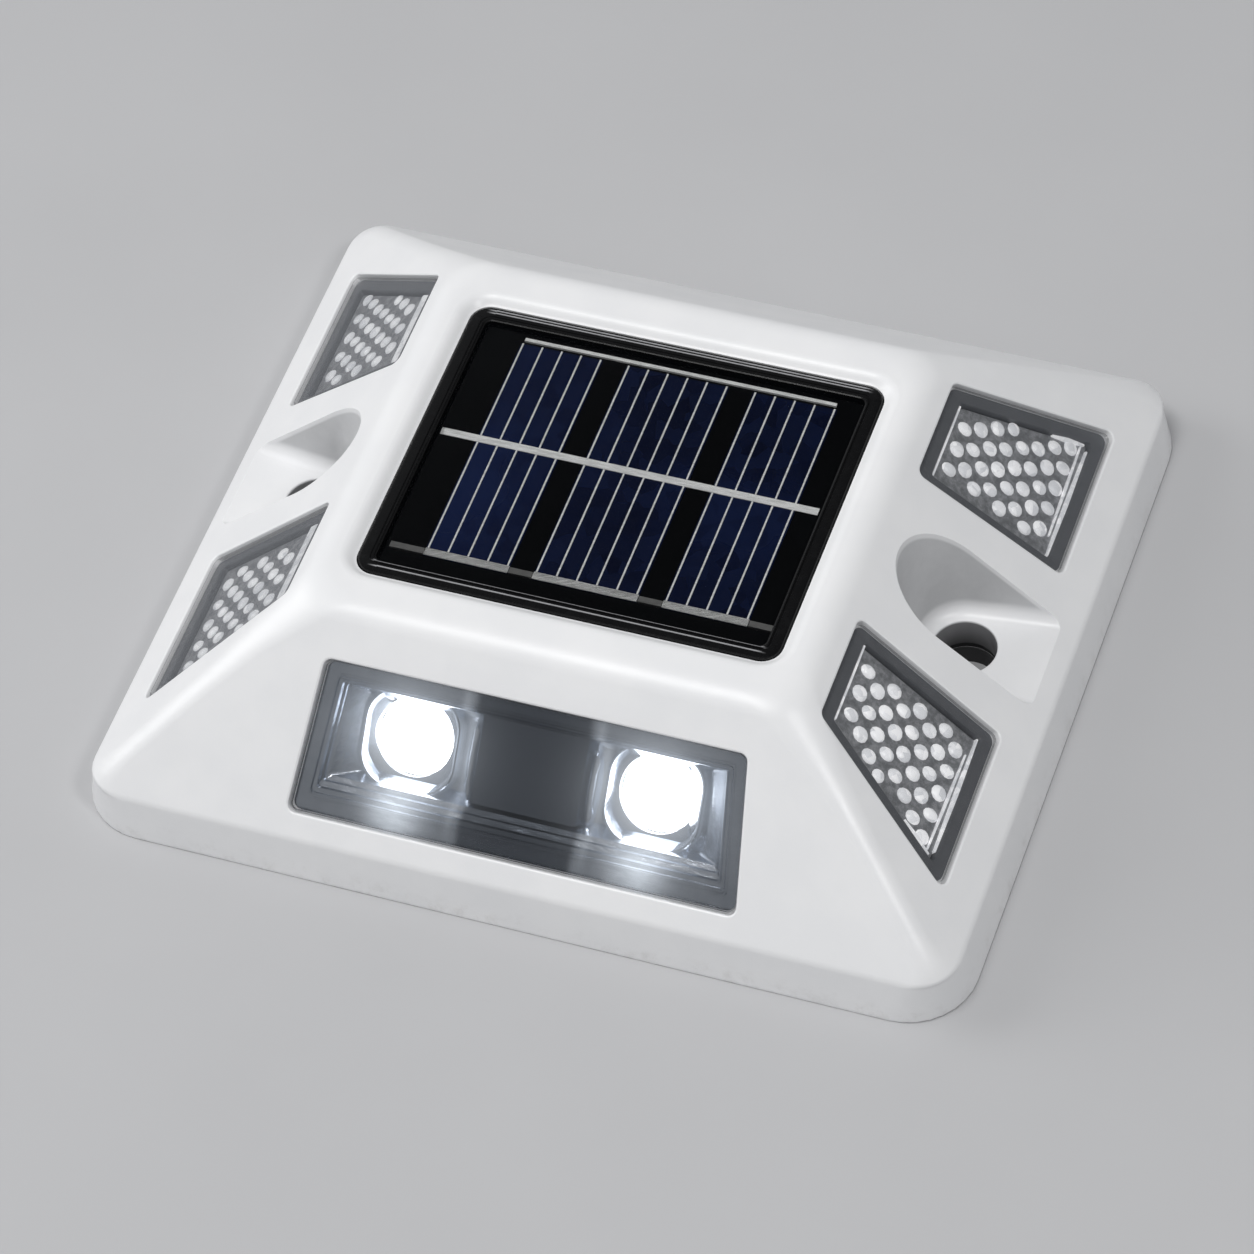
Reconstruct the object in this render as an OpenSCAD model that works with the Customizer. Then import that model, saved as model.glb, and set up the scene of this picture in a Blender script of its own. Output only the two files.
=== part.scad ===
// Solar raised pavement marker: a white moulded shell with a solar panel on its flat top, two lit
// windows, four reflectors and two screw pockets, closed from below by a sealed base plate.
// +Z is up, +X runs along the row of screw holes, and -Y is the side that faces the traffic.
// The origin is the centre of the underside.

/* [Body] */
// Width of the body, left to right
body_w = 120; // [116:1:150]
// Depth of the body, front to back
body_d = 105; // [102:1:130]
// Height of the body
body_h = 29; // [28.5:0.1:36]
// Height of the upright skirt
skirt_h = 6.4; // [6:0.1:8]
// How far each side of the skirt leans in
skirt_draft = 1.6; // [0.8:0.1:2]
// Radius of the body's corners at the road
corner_r = 9; // [6:0.5:11]
// Width of the flat top
top_w = 66; // [65:0.5:80]
// Depth of the flat top
top_d = 59.4; // [58:0.2:72]
// Radius of the flat top's corners
top_corner_r = 7; // [4:0.5:10]
// Rounding between the flat top and the slopes
ridge_r = 5; // [2:0.5:6]
// Wall of the shell
wall = 2.6; // [2.4:0.1:3]
// Thickness of the roof under the panel's seat
roof_t = 2; // [1.6:0.1:3]

/* [Screw pockets] */
// Distance of each screw hole from the centre
hole_x = 45; // [44:0.5:47]
// Radius of the screw holes
hole_r = 4.2; // [3:0.1:4.6]
// Height of the pocket's floor
pocket_floor = 8.5; // [8:0.1:10]
// Radius of the pocket at its floor
pocket_r = 5.9; // [5.2:0.1:6.4]
// Half the pocket's width where it leaves the body
pocket_mouth = 8; // [5.5:0.1:9]
// Lean of the pocket's wall, in mm for each mm of height
pocket_draft = 0.13; // [0.05:0.01:0.16]
// Wall of the pocket and of the screw tube
tub_wall = 1.8; // [1.5:0.1:2.2]

/* [Base] */
// Thickness of the base plate
base_t = 3; // [2.6:0.1:3.4]
// Width of the shell's rim round the base plate
rim_t = 3; // [2.6:0.1:3.4]
// Width of the ledge that the gasket seals on
ledge_w = 2.4; // [2:0.1:3]
// Thickness of the gasket when closed
gasket_t = 1; // [0.8:0.1:1.2]
// Depth of the glue grooves under the base
groove_depth = 0.8; // [0.4:0.1:1]
// Width of the glue grooves
groove_w = 2; // [1:0.2:3]
// Distance from one glue groove to the next
groove_pitch = 7.5; // [6:0.5:10]

/* [Solar panel] */
// Width of the bezel
bezel_w = 56.8; // [56:0.2:57.6]
// Depth of the bezel
bezel_d = 46.2; // [45:0.2:47]
// Radius of the bezel's corners
bezel_r = 2.6; // [2:0.1:4]
// Width of the bezel's sides
bezel_side = 2.2; // [1.8:0.1:2.4]
// Height of the bezel
bezel_h = 2.4; // [2.2:0.1:3]
// Depth of the panel's seat below the flat top
seat_depth = 3.6; // [3.2:0.1:4]
// Distance between the fingers of a cell
finger_pitch = 2.7; // [2.4:0.05:2.8]
// Width of a finger
finger_w = 0.22; // [0.15:0.01:0.3]
// Gap between two blocks of cells
block_gap = 3.9; // [3:0.1:4.2]
// Sideways shift of the cells
cell_shift = 1; // [0:0.1:1.2]
// Back end of the cells, from the centre
cell_back = 18.9; // [16:0.1:19]
// Front end of the cells, from the centre
cell_front = 17.8; // [15:0.1:18.2]
// Width of the bus bars
bus_w = 1.1; // [0.8:0.1:1.4]

/* [Lit windows] */
// Distance of the window's low edge up the slope
window_low = 3.6; // [3.2:0.1:4.4]
// Length of the window up the slope
window_len = 20.2; // [19:0.1:21]
// Width of the window's low edge
window_low_w = 60; // [57:0.2:62]
// Width of the window's high edge
window_high_w = 56.1; // [54:0.2:58]
// Distance of each light from the middle of the window
led_x = 16.4; // [15:0.1:17]
// Distance of the lights up the slope
led_up = 15.4; // [15:0.1:16]
// Radius of the lights
led_r = 5; // [4:0.1:5]
// Depth of the light tray below the slope
tray_depth = 6.5; // [6:0.1:7]

/* [Side reflectors] */
// Distance of the reflector's low edge up the slope
refl_low = 5.8; // [5.6:0.1:7]
// Length of the reflector up the slope
refl_len = 24.3; // [22:0.1:25]
// Distance of the near edge from the middle, at the high edge
refl_near_high = 12.3; // [12:0.1:13]
// Distance of the near edge from the middle, at the low edge
refl_near_low = 13.6; // [13:0.1:15]
// Gap from the far edge to the hip, at the high edge
refl_gap_high = 4.4; // [4:0.1:6]
// Gap from the far edge to the hip, at the low edge
refl_gap_low = 9.3; // [9:0.1:11]
// Depth of the reflector tray below the slope
refl_depth = 5.4; // [5:0.1:6]

/* [Covers] */
// Thickness of the clear covers
pane_t = 1.2; // [1:0.1:1.4]
// How far a clear cover sits below the slope
pane_set = 0.3; // [0.2:0.05:0.4]
// Radius of a clear cover's corners
pane_r = 1.4; // [1:0.1:1.6]
// Width of the ledge that holds a clear cover
pane_ledge = 1.5; // [1.2:0.1:1.8]

/* [Battery and board] */
// Radius of the battery
battery_r = 7.05; // [6:0.05:7.2]
// Length of the battery
battery_len = 50; // [44:0.5:50.5]
// Place of the battery, front to back
battery_y = -12.5; // [-13:0.5:-11]
// Width of the main board
board_w = 46; // [42:1:50]
// Depth of the main board
board_d = 22; // [20:1:24]
// Place of the main board, front to back
board_y = 9; // [8:0.5:10]
// Height of the main board's underside
board_z = 9.5; // [9.3:0.1:10]
// Thickness of the circuit boards
pcb_t = 1.6; // [1.2:0.1:1.6]

/* [Power button] */
// Place of the button, left to right
button_x = 13; // [10:0.5:15]
// Radius of the button
button_r = 4; // [3.5:0.1:4.4]
// How far the button travels
button_travel = 1.8; // [1:0.1:1.8]

/* [Fits] */
// Gap between parts that drop into each other
fit_gap = 0.15; // [0.1:0.05:0.3]
// Gap round the button and its stem
button_gap = 0.3; // [0.3:0.05:0.35]
// Radial gap round a screw in its hole
screw_gap = 0.05; // [0.02:0.01:0.2]

/* [Hidden] */
$fn = 48;
eps = 0.01;

// ---- lines that the body's shape follows ----
foot_x = body_w / 2 - skirt_draft;
foot_y = body_d / 2 - skirt_draft;
rise = body_h - skirt_h;
side_run = foot_x - top_w / 2;
front_run = foot_y - top_d / 2;
side_a = atan(rise / side_run);
front_a = atan(rise / front_run);
side_len = norm([rise, side_run]);
front_len = norm([rise, front_run]);
skirt_top_r = 5;
ridge_steps = 5;
steep_a = max(side_a, front_a);

// Half-width at height z of a slope that is rounded into the flat top
function slope_half(z, foot, run, top, a) =
    z <= body_h - ridge_r * (1 - cos(a))
    ? foot - (z - skirt_h) * run / rise
    : top / 2 - ridge_r * tan(a / 2) + sqrt(max(0, pow(ridge_r, 2) - pow(z - body_h + ridge_r, 2)));
function half_x(z) = slope_half(z, foot_x, side_run, top_w, side_a);
function half_y(z) = slope_half(z, foot_y, front_run, top_d, front_a);
ridge_z = [for (k = [0:ridge_steps]) body_h - ridge_r * (1 - cos(steep_a * (1 - k / ridge_steps)))];

// ---- inside of the shell ----
rim_x = body_w / 2 - rim_t;
rim_y = body_d / 2 - rim_t;
rim_r = corner_r - rim_t;
shelf_z = base_t + gasket_t;
ceiling_z = body_h - seat_depth - roof_t;
function cavity_x(z) = min(rim_x - ledge_w, foot_x - (z - skirt_h) * side_run / rise - wall / sin(side_a));
function cavity_y(z) = min(rim_y - ledge_w, foot_y - (z - skirt_h) * front_run / rise - wall / sin(front_a));
cavity_r = 3.5;
cavity_zs = [shelf_z - eps, skirt_h + 0.6, ceiling_z];
post_x = rim_x - ledge_w - 4.4;
post_y = rim_y - ledge_w - 4.4;
post_r = 3;
screw_r = 1.3;
screw_head_r = 2.6;
screw_head_h = 1.6;
screw_len = 9;
small_screw_r = 1;
small_head_r = 1.8;
small_head_h = 1.2;

// ---- heights of the panel's layers ----
seat_z = body_h - seat_depth;
seal_t = 0.4;
board_low = seat_z + seal_t;
panel_pcb_t = 1.1;
cell_z = board_low + panel_pcb_t;
cell_t = 0.2;
metal_t = 0.12;
glass_z = cell_z + cell_t + metal_t;
glass_t = 0.5;
panel_gap = 0.1;
panel_w = bezel_w - 2 * bezel_side - 2 * panel_gap;
panel_d = bezel_d - 2 * bezel_side - 2 * panel_gap;
block_fingers = [5, 6, 5];
function block_w(i) = (block_fingers[i] - 1) * finger_pitch;
cells_w = block_w(0) + block_w(1) + block_w(2) + 2 * block_gap;
function block_x(i) = cell_shift - cells_w / 2
    + (i == 0 ? 0 : i == 1 ? block_w(0) + block_gap : block_w(0) + block_w(1) + 2 * block_gap);
mid_bus_y = 2.1;
bus_reach = panel_w / 2 - 0.4;
back_bus_y = cell_back + 0.5;
back_bus_w = 0.5;

// ---- depths below the slopes ----
pane_low = pane_set + pane_t;
tray_wall = 1;
light_tip = pane_low + 0.4;
light_base = 9.5;
post_spread = 6;
light_post_r = 1.9;
light_board_w = 44;
light_board_h = 11;
bead_plate_t = 1.2;
cup_wall = 1;

// Corners of a lit window and of a side reflector, anticlockwise on their own slopes
window_pts = [
    [-window_low_w / 2, window_low], [window_low_w / 2, window_low],
    [window_high_w / 2, window_low + window_len], [-window_high_w / 2, window_low + window_len]
];
function hip_y(s) = top_d / 2 + (side_len - s) * front_run / side_len;
refl_high = refl_low + refl_len;
refl_pts = [
    [-refl_high, -refl_near_high], [-refl_high, -(hip_y(refl_high) - refl_gap_high)],
    [-refl_low, -(hip_y(refl_low) - refl_gap_low)], [-refl_low, -refl_near_low]
];

// ---- outlines with true round corners ----
function unit(v) = v / norm(v);
function edge_n(a, b) = unit([b[1] - a[1], a[0] - b[0]]);
function inset_corner(p, n1, n2, d) = p - d * (n1 + n2) / (1 + n1 * n2);
function inset(p, d) = [for (i = [0:len(p) - 1]) let (
    a = p[(i + len(p) - 1) % len(p)], b = p[i], c = p[(i + 1) % len(p)])
    inset_corner(b, edge_n(a, b), edge_n(b, c), d)];
function rect(w, d) = [[-w / 2, -d / 2], [w / 2, -d / 2], [w / 2, d / 2], [-w / 2, d / 2]];

module rounded(p, r) {
    c = inset(p, r);
    n = len(p);
    polygon([for (i = [0:n - 1]) let (a = edge_n(p[(i + n - 1) % n], p[i]), b = edge_n(p[i], p[(i + 1) % n]))
        each [c[i] + r * a, c[i] + r * b]]);
    for (q = c)
        translate(q) circle(r);
}

module slab(p, r, z0, z1) {
    translate([0, 0, z0]) linear_extrude(z1 - z0) rounded(p, r);
}

// ---- places ----
module on_front() { translate([0, -foot_y, skirt_h]) rotate([front_a, 0, 0]) children(); }
module on_side() { translate([foot_x, 0, skirt_h]) rotate([0, side_a, 0]) children(); }
module front_or_back(sy) {
    if (sy > 0) mirror([0, 1, 0]) children();
    else children();
}
module quarter(sx, sy) {
    if (sx < 0) mirror([1, 0, 0]) front_or_back(sy) children();
    else front_or_back(sy) children();
}
module both_sides() {
    children();
    mirror([1, 0, 0]) children();
}
module four_corners() { for (sx = [-1, 1], sy = [-1, 1]) quarter(sx, sy) children(); }

// A thin layer of the rounded body
module layer(hx, hy, r, z) {
    for (sx = [-1, 1], sy = [-1, 1])
        translate([sx * (hx - r), sy * (hy - r), z]) cylinder(r = r, h = eps, $fn = 32);
}

module body_outside() {
    hull() {
        layer(body_w / 2, body_d / 2, corner_r, 0);
        layer(foot_x, foot_y, skirt_top_r, skirt_h - eps);
        for (z = ridge_z)
            layer(half_x(z), half_y(z), top_corner_r, z - eps);
    }
}

module cavity() {
    hull() for (z = cavity_zs) layer(cavity_x(z), cavity_y(z), cavity_r, z);
}

// Tapered pocket that is open towards the side, grown by g for its wall
module pocket(g) {
    h = body_h - pocket_floor + g;
    hull() {
        translate([hole_x, 0, pocket_floor - g])
            cylinder(r1 = pocket_r + g, r2 = pocket_r + g + h * pocket_draft, h = h, $fn = 32);
        for (s = [-1, 1])
            translate([body_w / 2 + 2, s * (pocket_mouth - 1), pocket_floor - g])
                cylinder(r1 = 1 + g, r2 = 1 + g + h * pocket_draft, h = h, $fn = 32);
    }
}

module screw_post() {
    translate([post_x, post_y, shelf_z - eps]) cylinder(r = post_r, h = ceiling_z - shelf_z);
}

// ---- shell ----
module top_shell() {
    color("white") difference() {
        body_outside();
        // room inside, less what stands in it
        difference() {
            cavity();
            both_sides() pocket(tub_wall);
            both_sides() translate([hole_x, 0, 0]) cylinder(r = hole_r + tub_wall, h = pocket_floor);
            four_corners() screw_post();
        }
        // seat of the base plate and its gasket
        slab(rect(2 * rim_x, 2 * rim_y), rim_r, -1, shelf_z);
        // seat of the solar panel and its wire hole
        slab(rect(bezel_w + 2 * fit_gap, bezel_d + 2 * fit_gap), bezel_r + fit_gap, seat_z, body_h + 1);
        translate([wire_hole_x, wire_hole_y, ceiling_z - 1]) cylinder(r = wire_hole_r, h = roof_t + 2);
        // screw pockets and holes
        both_sides() pocket(0);
        both_sides() translate([hole_x, 0, shelf_z - 1]) cylinder(r = hole_r, h = pocket_floor);
        // openings in the slopes
        on_front() opening(window_pts);
        four_corners() on_side() opening(refl_pts);
        // pilot holes of the base screws
        four_corners() translate([post_x, post_y, 0]) cylinder(r = screw_r + screw_gap, h = screw_len + 0.3);
    }
}

// Opening in a slope: a shallow step for the cover, and a hole for what is behind it
module opening(p) {
    slab(inset(p, -fit_gap), pane_r + fit_gap, -pane_low, 4);
    slab(inset(p, pane_ledge), pane_r / 2, -wall - 3, 0);
}

// ---- base ----
module base_plate() {
    color("whitesmoke") difference() {
        slab(rect(2 * (rim_x - fit_gap), 2 * (rim_y - fit_gap)), rim_r - fit_gap, 0, base_t);
        both_sides() translate([hole_x, 0, -1]) cylinder(r = hole_r, h = base_t + 2);
        four_corners() translate([post_x, post_y, -1]) cylinder(r = screw_r + screw_gap, h = base_t + 2);
        four_corners() translate([post_x, post_y, -1])
            cylinder(r = screw_head_r + screw_gap, h = 1 + screw_head_h + eps);
        translate([button_x, board_y, -1]) cylinder(r = button_r + button_gap, h = base_t + 2);
        translate([button_x, board_y, -1]) cylinder(r = button_r + 2.5, h = 1 + groove_depth);
        translate([button_x, board_y, groove_depth + 0.5]) cylinder(r = ring_r + ring_t / 2, h = ring_t + 0.1);
        glue_grooves();
    }
    color("whitesmoke") board_posts() difference() {
        translate([0, 0, base_t]) cylinder(r = 2.6, h = board_z - base_t);
        translate([0, 0, base_t + 1]) cylinder(r = small_screw_r + screw_gap, h = board_z);
    }
}

groove_span = rim_x - 11;
groove_count = floor((rim_y - 12) / groove_pitch);
module glue_grooves() {
    difference() {
        for (k = [-groove_count:groove_count])
            translate([-groove_span, k * groove_pitch - groove_w / 2, -1])
                cube([2 * groove_span, groove_w, 1 + groove_depth]);
        both_sides() translate([hole_x, 0, -2]) cylinder(r = hole_r + 4, h = 4);
        translate([button_x, board_y, -2]) cylinder(r = button_r + 4.5, h = 4);
    }
}

module base_gasket() {
    color("dimgray") difference() {
        slab(rect(2 * rim_x - 0.4, 2 * rim_y - 0.4), rim_r - 0.2, base_t, shelf_z);
        slab(rect(2 * (rim_x - ledge_w) + 0.4, 2 * (rim_y - ledge_w) + 0.4), cavity_r, 0, shelf_z + 1);
    }
}

module tube_seals() {
    color("dimgray") both_sides() translate([hole_x, 0, base_t]) difference() {
        cylinder(r = hole_r + tub_wall - 0.2, h = gasket_t);
        translate([0, 0, -1]) cylinder(r = hole_r + 0.2, h = gasket_t + 2);
    }
}

module base_screws() {
    color("silver") four_corners() translate([post_x, post_y, 0]) {
        difference() {
            translate([0, 0, 0.2]) cylinder(r = screw_head_r, h = screw_head_h - 0.2);
            for (a = [0, 90])
                rotate(a) translate([-1.3, -0.3, 0]) cube([2.6, 0.6, 0.9]);
        }
        translate([0, 0, screw_head_h - eps]) cylinder(r = screw_r, h = screw_len - screw_head_h);
    }
}

// ---- solar panel ----
module panel_bezel() {
    color("black") difference() {
        slab(rect(bezel_w, bezel_d), bezel_r, seat_z + seal_t, seat_z + seal_t + bezel_h);
        slab(rect(bezel_w - 2 * bezel_side, bezel_d - 2 * bezel_side), 1, seat_z, body_h);
        // two fine grooves along the front and back sides
        for (s = [-1, 1], k = [0.7, 1.3])
            translate([-bezel_w / 2 + 3, s * (bezel_d / 2 - k) - 0.12, seat_z + seal_t + bezel_h - 0.25])
                cube([bezel_w - 6, 0.24, 1]);
    }
}

module panel_seal() {
    color("dimgray") difference() {
        slab(rect(bezel_w - 1, bezel_d - 1), bezel_r - 0.5, seat_z, board_low);
        slab(rect(bezel_w - 9, bezel_d - 9), 1, seat_z - 1, board_low + 1);
    }
}

module panel_board() {
    color("#101418") slab(rect(panel_w, panel_d), 0.8, board_low, cell_z);
}

module each_finger(i) {
    for (k = [0:block_fingers[i] - 1])
        translate([block_x(i) + k * finger_pitch, 0, 0]) children();
}

module solar_cells() {
    color("midnightblue") for (i = [0:2])
        translate([block_x(i) - 0.3, -cell_front, cell_z])
            cube([block_w(i) + 0.6, cell_front + cell_back, cell_t]);
}

module cell_fingers() {
    z = cell_z + cell_t;
    color("silver") for (i = [0:2]) each_finger(i) {
        translate([-finger_w / 2, -cell_front + bus_w + 0.05, z])
            cube([finger_w, cell_front + mid_bus_y - 1.5 * bus_w - 0.1, metal_t]);
        translate([-finger_w / 2, mid_bus_y + bus_w / 2 + 0.05, z])
            cube([finger_w, cell_back - mid_bus_y - bus_w / 2 - 0.05, metal_t]);
    }
}

module bus_bars() {
    z = cell_z + cell_t;
    color("lightgray") {
        translate([-bus_reach, mid_bus_y - bus_w / 2, z]) cube([2 * bus_reach, bus_w, metal_t]);
        for (i = [0:2])
            translate([block_x(i) - 0.3, -cell_front, z]) cube([block_w(i) + 0.6, bus_w, metal_t]);
        translate([block_x(0), back_bus_y, cell_z]) cube([cells_w, back_bus_w, cell_t + metal_t]);
    }
}

module link_ribbons() {
    reach = cells_w / 2 + 4;
    ends = [-reach, block_x(0) - 0.4, block_x(0) + block_w(0) + 0.4, block_x(1) - 0.4,
        block_x(1) + block_w(1) + 0.4, block_x(2) - 0.4, block_x(2) + block_w(2) + 0.4, reach + 0.6];
    color("gray") for (k = [0, 2, 4, 6])
        translate([ends[k], -cell_front + 0.1, cell_z])
            cube([ends[k + 1] - ends[k], bus_w - 0.2, cell_t + metal_t / 2]);
}

module panel_glass() {
    color("black", 0.3) slab(rect(panel_w, panel_d), 0.8, glass_z, glass_z + glass_t);
}

// ---- lit windows ----
module window() {
    color("lightsteelblue", 0.4) on_front() slab(window_pts, pane_r, -pane_low, -pane_set);
}
module window_front() { window(); }

module at_lights() { for (s = [-1, 1]) translate([s * led_x, led_up, 0]) children(); }
module at_light_posts() { for (s = [-1, 1]) translate([s * post_spread, led_up, 0]) children(); }

module light_tray() {
    outer = inset(window_pts, pane_ledge + fit_gap);
    floor_t = 2.2;
    color("gainsboro") on_front() difference() {
        union() {
            slab(outer, pane_r / 2, -tray_depth, -pane_low);
            at_light_posts() translate([0, 0, -light_base]) cylinder(r = light_post_r, h = 4);
        }
        slab(inset(outer, tray_wall), 0.5, -tray_depth + floor_t, 1);
        at_lights() translate([0, 0, -tray_depth - 1]) cylinder(r = led_r + 0.2, h = 8);
        at_lights() translate([0, 0, -tray_depth + 0.6]) cylinder(r1 = led_r + 0.2, r2 = led_r + 1.6, h = 1.8);
        at_light_posts() translate([0, 0, -light_base - 1])
            cylinder(r = small_screw_r + screw_gap, h = light_base - tray_depth + 2);
    }
}
module light_tray_front() { light_tray(); }

module lights() {
    color("white") on_front() at_lights() {
        translate([0, 0, -light_base]) cylinder(r = led_r, h = light_base - light_tip - led_r);
        difference() {
            translate([0, 0, -light_tip - led_r]) sphere(led_r);
            translate([0, 0, -light_base - led_r]) cube(2 * (light_base - light_tip), center = true);
        }
    }
}
module lights_front() { lights(); }

module light_board() {
    color("darkgreen") on_front() difference() {
        translate([-light_board_w / 2, led_up - light_board_h / 2, -light_base - pcb_t])
            cube([light_board_w, light_board_h, pcb_t]);
        at_light_posts() translate([0, 0, -light_base - pcb_t - 1])
            cylinder(r = small_screw_r + screw_gap, h = pcb_t + 2);
    }
}
module light_board_front() { light_board(); }

module light_screws() {
    color("silver") on_front() at_light_posts() {
        translate([0, 0, -light_base - pcb_t - small_head_h]) cylinder(r = small_head_r, h = small_head_h);
        translate([0, 0, -light_base - pcb_t - eps]) cylinder(r = small_screw_r, h = pcb_t + 3);
    }
}
module light_screws_front() { light_screws(); }

// ---- side reflectors ----
module cover() { color("lightgray", 0.4) on_side() slab(refl_pts, pane_r, -pane_low, -pane_set); }
module cover_front_left() { quarter(-1, -1) cover(); }
module cover_front_right() { quarter(1, -1) cover(); }
module cover_back_left() { quarter(-1, 1) cover(); }
module cover_back_right() { quarter(1, 1) cover(); }

cup_pts = inset(refl_pts, pane_ledge + fit_gap);
module beads() {
    color("whitesmoke") on_side() slab(inset(cup_pts, cup_wall + 0.1), 0.5,
        -refl_depth + cup_wall, -refl_depth + cup_wall + bead_plate_t);
}
module beads_front_left() { quarter(-1, -1) beads(); }
module beads_front_right() { quarter(1, -1) beads(); }
module beads_back_left() { quarter(-1, 1) beads(); }
module beads_back_right() { quarter(1, 1) beads(); }

module cup() {
    color("gray") on_side() difference() {
        slab(cup_pts, pane_r / 2, -refl_depth, -pane_low);
        slab(inset(cup_pts, cup_wall), 0.5, -refl_depth + cup_wall, 1);
    }
}
module cup_front_left() { quarter(-1, -1) cup(); }
module cup_front_right() { quarter(1, -1) cup(); }
module cup_back_left() { quarter(-1, 1) cup(); }
module cup_back_right() { quarter(1, 1) cup(); }

// ---- battery ----
holder_floor = 1.4;
contact_t = 0.6;
contact_h = 8;
battery_z = base_t + holder_floor + battery_r;
holder_in = battery_len + 2 * contact_t + 2.4;
holder_end = 1.4;
holder_w = 2 * battery_r + 2.6;
module battery() {
    color("steelblue") translate([-battery_len / 2, battery_y, battery_z]) rotate([0, 90, 0]) {
        cylinder(r = battery_r, h = battery_len - 1);
        cylinder(r = 2.7, h = battery_len);
    }
}

module battery_holder() {
    color("#202020") difference() {
        translate([-holder_in / 2 - holder_end, battery_y - holder_w / 2, base_t])
            cube([holder_in + 2 * holder_end, holder_w, holder_floor + battery_r]);
        translate([-holder_in / 2, battery_y, battery_z]) rotate([0, 90, 0])
            cylinder(r = battery_r + 0.05, h = holder_in);
    }
}

module battery_contacts() {
    color("silver") for (s = [-1, 1])
        translate([s * (holder_in / 2 - contact_t / 2), battery_y, battery_z]) rotate([0, s * 90, 0]) {
            translate([-contact_h / 2, -contact_h / 2, -contact_t / 2]) cube([contact_h, contact_h, contact_t]);
            translate([0, 0, -contact_t / 2 - 1.1]) cylinder(r1 = 1.4, r2 = 3, h = 1.1 + eps);
        }
}

// ---- main board ----
module board_posts() {
    for (sx = [-1, 1], sy = [-1, 1])
        translate([sx * (board_w / 2 - 3), board_y + sy * (board_d / 2 - 3), 0]) children();
}
board_top = board_z + pcb_t;
module main_board() {
    color("green") difference() {
        translate([-board_w / 2, board_y - board_d / 2, board_z]) cube([board_w, board_d, pcb_t]);
        board_posts() translate([0, 0, board_z - 1]) cylinder(r = small_screw_r + screw_gap, h = pcb_t + 2);
    }
}

module board_screws() {
    color("silver") board_posts() {
        translate([0, 0, board_top]) cylinder(r = small_head_r, h = small_head_h);
        translate([0, 0, board_top - pcb_t - 4]) cylinder(r = small_screw_r, h = pcb_t + 4 + eps);
    }
}

module controller_chip() {
    color("#181818") {
        translate([-10, board_y - 2.5, board_top + 0.2]) cube([6, 5, 1.5]);
        for (k = [0:3], s = [-1, 1])
            translate([-9.6 + k * 1.5, board_y + s * 3.1 - 0.6, board_top]) cube([0.5, 1.2, 0.5]);
    }
}
module coil() {
    color("saddlebrown") translate([2, board_y + 1, board_top]) {
        cylinder(r = 3.8, h = 1);
        cylinder(r = 2.6, h = 4.6);
        translate([0, 0, 3.6]) cylinder(r = 3.8, h = 1);
    }
}
module capacitor() { color("#2a2a44") translate([-15, board_y, board_top]) cylinder(r = 3.1, h = 7); }

// ---- power button ----
button_low = 0.8;
flange_low = base_t + 0.3;
flange_h = 0.8;
switch_low = flange_low + flange_h + button_travel + 0.3;
stem_r = 1.5;
stem_top = switch_low + 1.2;
switch_w = 7;
ring_r = button_r + 0.9;
ring_t = 0.8;
module power_button() {
    color("firebrick") translate([button_x, board_y, 0]) {
        translate([0, 0, button_low]) cylinder(r = button_r, h = flange_low - button_low + eps);
        translate([0, 0, flange_low]) cylinder(r = button_r + 1, h = flange_h);
        translate([0, 0, flange_low + flange_h - eps]) cylinder(r = stem_r, h = stem_top - flange_low - flange_h);
    }
}

module switch_body() {
    color("#303030") translate([button_x, board_y, 0]) difference() {
        translate([-switch_w / 2, -switch_w / 2, switch_low]) cube([switch_w, switch_w, board_z - switch_low]);
        translate([0, 0, switch_low - 1])
            cylinder(r = stem_r + button_gap, h = 1 + stem_top - switch_low + button_travel + 0.3);
    }
}

module button_ring() {
    color("dimgray") translate([button_x, board_y, groove_depth + 0.55 + ring_t / 2])
        rotate_extrude() translate([ring_r, 0]) circle(ring_t / 2 - 0.02, $fn = 24);
}

// ---- wires ----
wire_r = 0.55;
wire_gap = 2.2;
solder = 0.05;
wire_hole_x = 6;
wire_hole_y = 16;
wire_hole_r = 2.4;
function catmull(a, b, c, d, t) = 0.5 * (2 * b + (c - a) * t + (2 * a - 5 * b + 4 * c - d) * t * t
    + (3 * b - a - 3 * c + d) * t * t * t);
function smooth(p, n) = [for (i = [0:len(p) - 2], k = [0:n - 1])
    catmull(p[max(i - 1, 0)], p[i], p[i + 1], p[min(i + 2, len(p) - 1)], k / n), p[len(p) - 1]];
function along(p, i) = unit(p[min(i + 1, len(p) - 1)] - p[max(i - 1, 0)]);

// Round wire along the points p; its rings start from the direction up
module wire(p, up = [0, 0, 1]) {
    path = smooth(p, 3);
    sides = 8;
    rings = [for (i = [0:len(path) - 1]) let (u = unit(cross(along(path, i), up)), v = cross(along(path, i), u))
        each [for (k = [0:sides - 1]) path[i] + wire_r * (u * cos(k * 360 / sides) + v * sin(k * 360 / sides))]];
    last = (len(path) - 1) * sides;
    polyhedron(rings, concat(
        [[for (k = [0:sides - 1]) k]],
        [for (i = [0:len(path) - 2], k = [0:sides - 1]) let (a = i * sides + k, b = i * sides + (k + 1) % sides)
            [a, a + sides, b + sides, b]],
        [[for (k = [sides - 1:-1:0]) last + k]]));
}

// From the underside of the panel's board to the main board
module panel_wires() {
    x = wire_hole_x;
    y = wire_hole_y;
    color("red") for (s = [-1, 1])
        wire([[x + s, y, board_low - solder], [x + s, y, ceiling_z - 1], [x + 1.5 * s, y - 1, board_top + 4],
            [x + 2 * s, y - 1.5, board_top + 2], [x + 2 * s, y - 1.5, board_top + solder]], [0, 1, 0]);
}

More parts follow.
